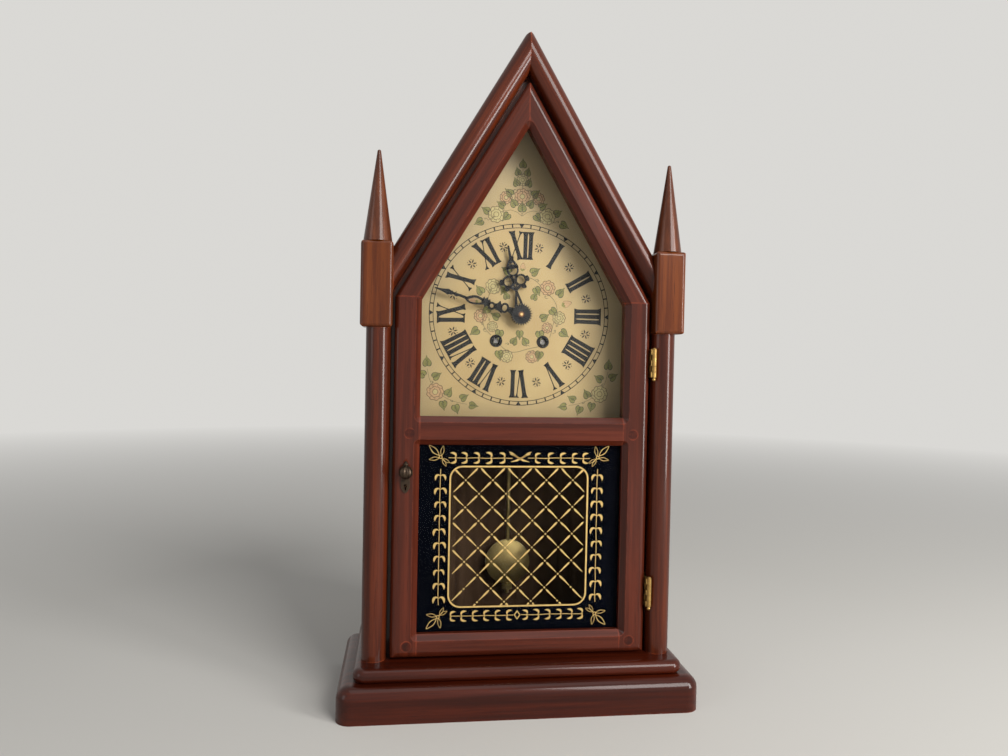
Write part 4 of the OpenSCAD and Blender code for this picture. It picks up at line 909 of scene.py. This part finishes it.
gold_lines = [[rounded_box(WINDOW[0] + 0.6, WINDOW[1] + 0.6, 10),
               rounded_box(WINDOW[0] - 0.6, WINDOW[1] - 0.6, 8.8)[::-1]]]
for side in (-1, 1):
    for j in range(-6, 6):
        for k in range(11):
            # One brush stroke from crossing to crossing, full at its top and thin at its foot
            steps = [(k + 0.13 + 0.74 * i / 24) * LATTICE / 2 for i in range(25)]
            run = [(side * (LATTICE * (j + 0.5) + t), WINDOW[1] - t) for t in steps]
            run = [(x, z) for x, z in run if in_window(x, z)]
            if len(run) > 5:
                (x0, z0), (x1, z1), (x2, z2) = run[0], run[len(run) // 2], run[-1]
                sway = hand.uniform(-0.18, 0.18)
                full = (x0 * 0.7 + x1 * 0.3, z0 * 0.7 + z1 * 0.3, hand.uniform(0.66, 0.84))
                gold_lines.append(brush([(x0, z0, 0.38), full, (x1 + sway, z1 + sway, 0.58),
                                         (x2, z2, 0.26)]))
dots = []
for row in range(1, 11):
    for col in range(-3, 4):
        x, z = LATTICE * (col + (0 if row % 2 else 0.5)), WINDOW[1] - LATTICE / 2 * row
        if in_window(abs(x) + 2, z):
            dots.append([oval(x, z, 0.75, 0.75, 10)])
print("gold lines:", len(gold_lines), "dots:", len(dots))

# %% [markdown]
# Round the window runs a border of laurel: pairs of curved leaves on a thin stem, drawn
# once and set one after the other, each a little turned and resized. A spray of five
# hollow petals fills each corner.

# %% Laurel border
def stem(path):
    """A thin line through (x, z) points."""
    return brush([(x, z, 0.24) for x, z in path])


claw = [(0.1, -0.5, 0.12), (0.9, 0.35, 0.36), (2.0, 0.55, 0.62), (3.1, 0.1, 0.92),
        (3.8, -1.1, 0.95), (4.1, -2.5, 0.62), (4.05, -4.0, 0.08)]
pair = [brush(claw), brush([(-x, z, w) for x, z, w in claw])]
# The border's stem runs this far from the middle of the gilding
border, G = [], 61.1
for s in (-1, 1):
    for k in range(10):
        border += moved(pair, s * G + hand.uniform(-0.4, 0.4), 47 - 10.4 * k,
                        hand.uniform(-5, 5), hand.uniform(0.9, 1.05))
    border.append(stem((s * G + hand.uniform(-0.3, 0.3), z) for z in range(-52, 54, 8)))
    for x in (12.5, 22.6, 32.2, 41.6, 50):
        border += moved(pair, s * x, G - 0.6, s * -90, hand.uniform(0.88, 1.0))
    border.append(stem((s * x, G - 0.6 + hand.uniform(-0.25, 0.25)) for x in range(6, 56, 7)))
    for x in (7.5, 16.4, 25.2, 34, 42.8, 51):
        border += moved(pair, s * x, -G + 0.2, s * 90, hand.uniform(0.84, 0.95))
    border.append(stem((s * x, -G + 0.2 + hand.uniform(-0.25, 0.25)) for x in range(3, 56, 7)))
    for sweep in (((8.6, 4.2, 0.15), (6.6, 3.0, 0.95), (2.5, 0.2, 0.6), (-2.5, -2.4, 0.75),
                   (-7.2, -3.6, 0.12)), ((8.0, 2.4, 0.12), (4.5, 1.2, 0.5), (0.6, -0.8, 0.3))):
        border.append(brush([(s * x, G + z, half) for x, z, half in sweep]))
border.append([[(0, -G + 3.9), (2.6, -G + 0.2), (0, -G - 3.5), (-2.6, -G + 0.2)][::-1],
               [(0, -G + 2.7), (1.7, -G + 0.2), (0, -G - 2.3), (-1.7, -G + 0.2)]])
print("border strokes:", len(border))

# %% Corner sprays, and the paint itself
petal = smooth([(0, 0), (1.45, 3.0), (1.35, 5.4), (0, 8.6), (-1.35, 5.4), (-1.45, 3.0)], 4)
petal = [[petal[::-1], [(x * 0.7, 4.3 + (z - 4.3) * 0.84) for x, z in petal]]]
corner = sum((moved(petal, *place) for place in (
    (1.0, 1.2, 45, 1.3), (1.0, -0.6, 100, 0.92), (-0.6, 1.0, -10, 0.92),
    (-1.2, -1.2, 208, 0.78), (-1.2, -1.2, 242, 0.78))), [])
corner += [ring(0, 0, 1.1, 0.28, 16), brush([(-1.2, -1.2, 0.3), (-0.8, -0.8, 0.3)]),
           brush([(0.8, 0.8, 0.3), (1.3, 1.4, 0.25)])]
for sx in (-1, 1):
    for sz in (-1, 1):
        border += [[[(sx * (G + x), sz * (G + z)) for x, z in o] for o in g] for g in corner]
gilt = paint("gilt", (0.70, 0.47, 0.17), 0.4, 0.3, 0.2, 400, 0.1)
night = paint("night_blue_paint", (0.0017, 0.0023, 0.0046), 0.6, 0.4, 0, 30, 0)
hole = rounded_box(WINDOW[0] - 0.3, WINDOW[1] - 0.3, 9)
panel = [[(-78.6, 53.8), (78.6, 53.8), (78.6, 198.0), (-78.6, 198.0)],
         [(GILT_AT[0] + x, GILT_AT[1] + z) for x, z in hole][::-1]]
for name, shapes, lift, colour in (
        ("gilt_lattice", moved(gold_lines + dots, *GILT_AT), 0.15, gilt),
        ("gilt_border", moved(border, *GILT_AT), 0.15, gilt),
        ("painted_border", [panel], 0.25, night)):
    cut(name, shapes, PAINT_BACK + lift, 0.04, colour, "door")
print("strokes with the corners:", len(border))

# %% [markdown]
# ## Hands
# The hands are sawn from thin steel in the pierced Gothic way of such clocks. Each part
# of the pattern is an outline with its own holes, and the parts overlap where the real
# hand is solid. A small bevel catches the light along the edges. Each hand is drawn
# pointing to XII, and then turned to the time.

# %% Hour hand
# The hands' angles clockwise from XII, the y of each front, and the thickness of the steel
HOUR_ANGLE, MINUTE_ANGLE = -11.5, 285.6
HOUR_FRONT, MINUTE_FRONT, COLLAR_FRONT = -6.0, -9.0, -10.2
HAND_THICK, HAND_BEVEL = 0.8, 0.12


def loop(x, z, half_x, half_z, wide, count=40):
    """An oval ring: the hole's half sizes, and how wide the metal round it is."""
    return [oval(x, z, half_x + wide, half_z + wide, count),
            oval(x, z, half_x, half_z, count)[::-1]]


def both(groups):
    return groups + moved(groups, flip=-1)


hour = [ring(0, 0, 4.7, 1.3, 64)]
hour += both([brush([(2.6, 4.6, 1.3), (2.3, 8, 1.1), (1.6, 12, 0.95), (0.8, 15.5, 0.9),
                     (0.2, 18.5, 0.8)])])
hour += [brush([(0, 15.5, 1.0), (0, 20.5, 1.1)]), loop(0, 23.4, 0.8, 1.4, 1.2, 4)]
hour += both([brush([(0.3, 19.6, 1.0), (2.2, 21.4, 1.1), (4.4, 22.6, 0.9)]),
              loop(5.0, 27.0, 3.2, 3.2, 1.55),
              [smooth([(8.8, 25.6), (11.5, 25.2), (11.9, 27.7), (10.8, 29.7), (9.0, 28.8)], 3)],
              [smooth([(4.6, 22.8), (5.4, 20.3), (8.5, 20.2), (8.3, 22.6), (6.8, 23.8)], 3)],
              brush([(0.4, 25.2, 1.1), (1.6, 29.4, 1.2), (2.6, 31.6, 1.0)])])
hour += [loop(0, 35.2, 3.3, 3.3, 1.5), brush([(-5.0, 37.4, 0.95), (5.0, 37.4, 0.95)])]
hour += both([brush([(4.3, 37.0, 0.9), (3.6, 39.0, 0.9), (2.2, 41.4, 0.9), (0.9, 43.6, 0.9)])])
hour += [brush([(0, 40.8, 0.7), (0, 43.0, 1.6), (0, 46, 1.1), (0, 51, 0.85), (0, 55, 0.7)]),
         [[(0.6, 43.6), (3.2, 45.4), (0.6, 46.5)]]]
piece = cut("pierced_hour_hand", moved(hour, *DIAL, HOUR_ANGLE), HOUR_FRONT, HAND_THICK,
            black_steel, "hour_work", HAND_BEVEL)
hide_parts("hour_hand")
print("hour hand parts:", len(hour))

# %% Minute hand
minute = [ring(0, 0, 4.6, 2.3, 64), brush([(0, 5.5, 3.0), (0.6, 9, 2.4), (1.0, 11.4, 1.8)]),
          loop(1.0, 14.0, 2.4, 1.8, 1.7),
          [smooth([(0.6, 15.9), (2.6, 17.0), (5.3, 18.8), (3.0, 20.3), (2.0, 22.2), (-0.8, 22.6),
                   (-2.4, 20.6), (-2.6, 18.2), (-4.0, 15.0), (-1.4, 16.0)], 3)],
          loop(-0.45, 24.2, 1.5, 1.5, 1.7),
          [[(-2.4, 26.0), (-1.5, 28.0), (-3.5, 29.6), (-1.6, 30.0), (-1.5, 31.6), (0.4, 33.0),
            (2.6, 32.8), (4.8, 31.9), (3.4, 30.4), (5.1, 29.3), (3.2, 28.1), (4.1, 26.6),
            (1.9, 25.7)][::-1]],
          brush([(1.4, 31.2, 1.1), (2.4, 34.0, 1.0), (2.9, 37.0, 0.95), (2.5, 39.6, 1.0),
                 (1.1, 42.2, 1.05), (-0.6, 44.8, 1.0)]),
          brush([(-0.7, 31.4, 0.95), (-1.9, 34.5, 0.7), (-2.7, 38.0, 0.7), (-2.9, 41.4, 0.7),
                 (-2.0, 43.8, 0.8), (-0.6, 45.2, 0.9)]),
          brush([(-0.5, 43.6, 0.8), (-0.3, 46, 1.1), (0, 50, 1.0), (0, 56.4, 0.95)]),
          brush([(0, 55.8, 0.8), (0, 57.6, 1.4), (0, 59.7, 2.4), (0, 62.5, 1.5), (0, 66, 0.85),
                 (0, 70.6, 0.45)])]
piece = cut("pierced_minute_hand", moved(minute, *DIAL, MINUTE_ANGLE), MINUTE_FRONT, HAND_THICK,
            black_steel, "minute_work", HAND_BEVEL)
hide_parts("minute_hand")
print("minute hand parts:", len(minute))

# %% Toothed collar over the hands
COLLAR_TEETH, TEETH_FOOT, TEETH_TIP, BORE = 26, 7.1, 8.8, 2.25
teeth = []
for k in range(COLLAR_TEETH):
    for step, radius in ((0, TEETH_FOOT), (0.34, TEETH_TIP), (0.5, TEETH_TIP), (0.84, TEETH_FOOT)):
        a = math.tau * (k + step) / COLLAR_TEETH
        teeth.append((DIAL[0] + radius * math.cos(a), DIAL[1] + radius * math.sin(a)))
collar = cut("toothed_collar", [[teeth, oval(*DIAL, BORE, BORE, 32)[::-1]]], COLLAR_FRONT, 1.2,
             black_steel, "minute_work", 0.1)
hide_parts("minute_hand")
print("collar teeth:", COLLAR_TEETH)

# %% [markdown]
# ## The latch's knob
# The knob is cast in a melon shape, with a finial on top. A ball is added, every second
# meridian is drawn in, and a subdivision rounds the steps into flutes. Finial and spindle
# are turned pieces, made by extruding a disc and resizing it step by step. All three
# become one piece that turns with the latch.

# %% A turned piece
def turned(steps, at, tilt=0.0):
    """A turned piece from (radius, height) steps, stood at a point and tilted about X."""
    deselect()
    bpy.ops.mesh.primitive_circle_add(vertices=32, radius=steps[0][0] * mm, fill_type="NGON")
    piece = bpy.context.object
    bpy.ops.object.mode_set(mode="EDIT")
    for (radius, z), (wider, higher) in zip(steps, steps[1:]):
        rise = (0, 0, (higher - z) * mm)
        bpy.ops.mesh.extrude_region_move(TRANSFORM_OT_translate={"value": rise})
        bpy.ops.transform.resize(value=(wider / radius, wider / radius, 1))
    bpy.ops.mesh.select_all(action="SELECT")
    bpy.ops.mesh.normals_make_consistent(inside=False)
    bpy.ops.object.mode_set(mode="OBJECT")
    bpy.ops.object.shade_smooth_by_angle(angle=math.radians(35))
    piece.rotation_euler.x = tilt
    piece.location = [v * mm for v in at]
    bpy.ops.object.transform_apply(location=True, rotation=True, scale=True)
    return piece


print("helper for turned pieces: ready")

# %% Fluted knob
KNOB, BALL, FLUTES = (-87.875, -39.3, 177.796), 5.7, 10
# How far the hollows are drawn in, how flat the ball is, and where the hollows end
DRAWN_IN, FLAT, POLE = 0.76, 0.88, 5.4
deselect()
bpy.ops.mesh.primitive_uv_sphere_add(segments=FLUTES * 2, ring_count=10, radius=BALL * mm)
knob = bpy.context.object
bpy.ops.object.mode_set(mode="EDIT")
bpy.ops.mesh.select_all(action="DESELECT")
bpy.ops.object.mode_set(mode="OBJECT")
for v in knob.data.vertices:
    meridian = round(math.atan2(v.co.y, v.co.x) / math.pi * FLUTES)
    v.select = meridian % 2 == 1 and abs(v.co.z) < POLE * mm
bpy.ops.object.mode_set(mode="EDIT")
bpy.ops.transform.resize(value=(DRAWN_IN, DRAWN_IN, 1), center_override=(0, 0, 0))
bpy.ops.mesh.select_all(action="SELECT")
bpy.ops.transform.resize(value=(1, 1, FLAT), center_override=(0, 0, 0))
bpy.ops.object.mode_set(mode="OBJECT")
smoothing = knob.modifiers.new("smooth", "SUBSURF")
smoothing.levels = smoothing.render_levels = 2
bpy.ops.object.modifier_apply(modifier="smooth")
bpy.ops.object.shade_smooth()
knob.location = [v * mm for v in KNOB]
bpy.ops.object.transform_apply(location=True, rotation=True, scale=True)
print("ball:", len(knob.data.polygons), "faces")

# %% Finial and spindle, joined to the ball
FINIAL = [(1.3, 0), (1.3, 0.9), (2.0, 1.5), (2.0, 2.2), (1.3, 2.9), (0.9, 3.6), (0.25, 4.2)]
SPINDLE = [(1.8, 0), (1.8, 3.4), (3.0, 3.42), (3.0, 5.2), (1.8, 5.22), (1.8, 28.0)]
finial = turned(FINIAL, (KNOB[0], KNOB[1], KNOB[2] + 4.3))
spindle = turned(SPINDLE, KNOB, -math.pi / 2)
select_only([knob, finial, spindle])
bpy.ops.object.join()
knob.name = knob.data.name = "fluted_knob"
knob.data.materials.clear()
knob.data.materials.append(bronze)
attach(knob, "latch")
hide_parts("latch_knob")
print("knob:", len(knob.data.polygons), "faces")
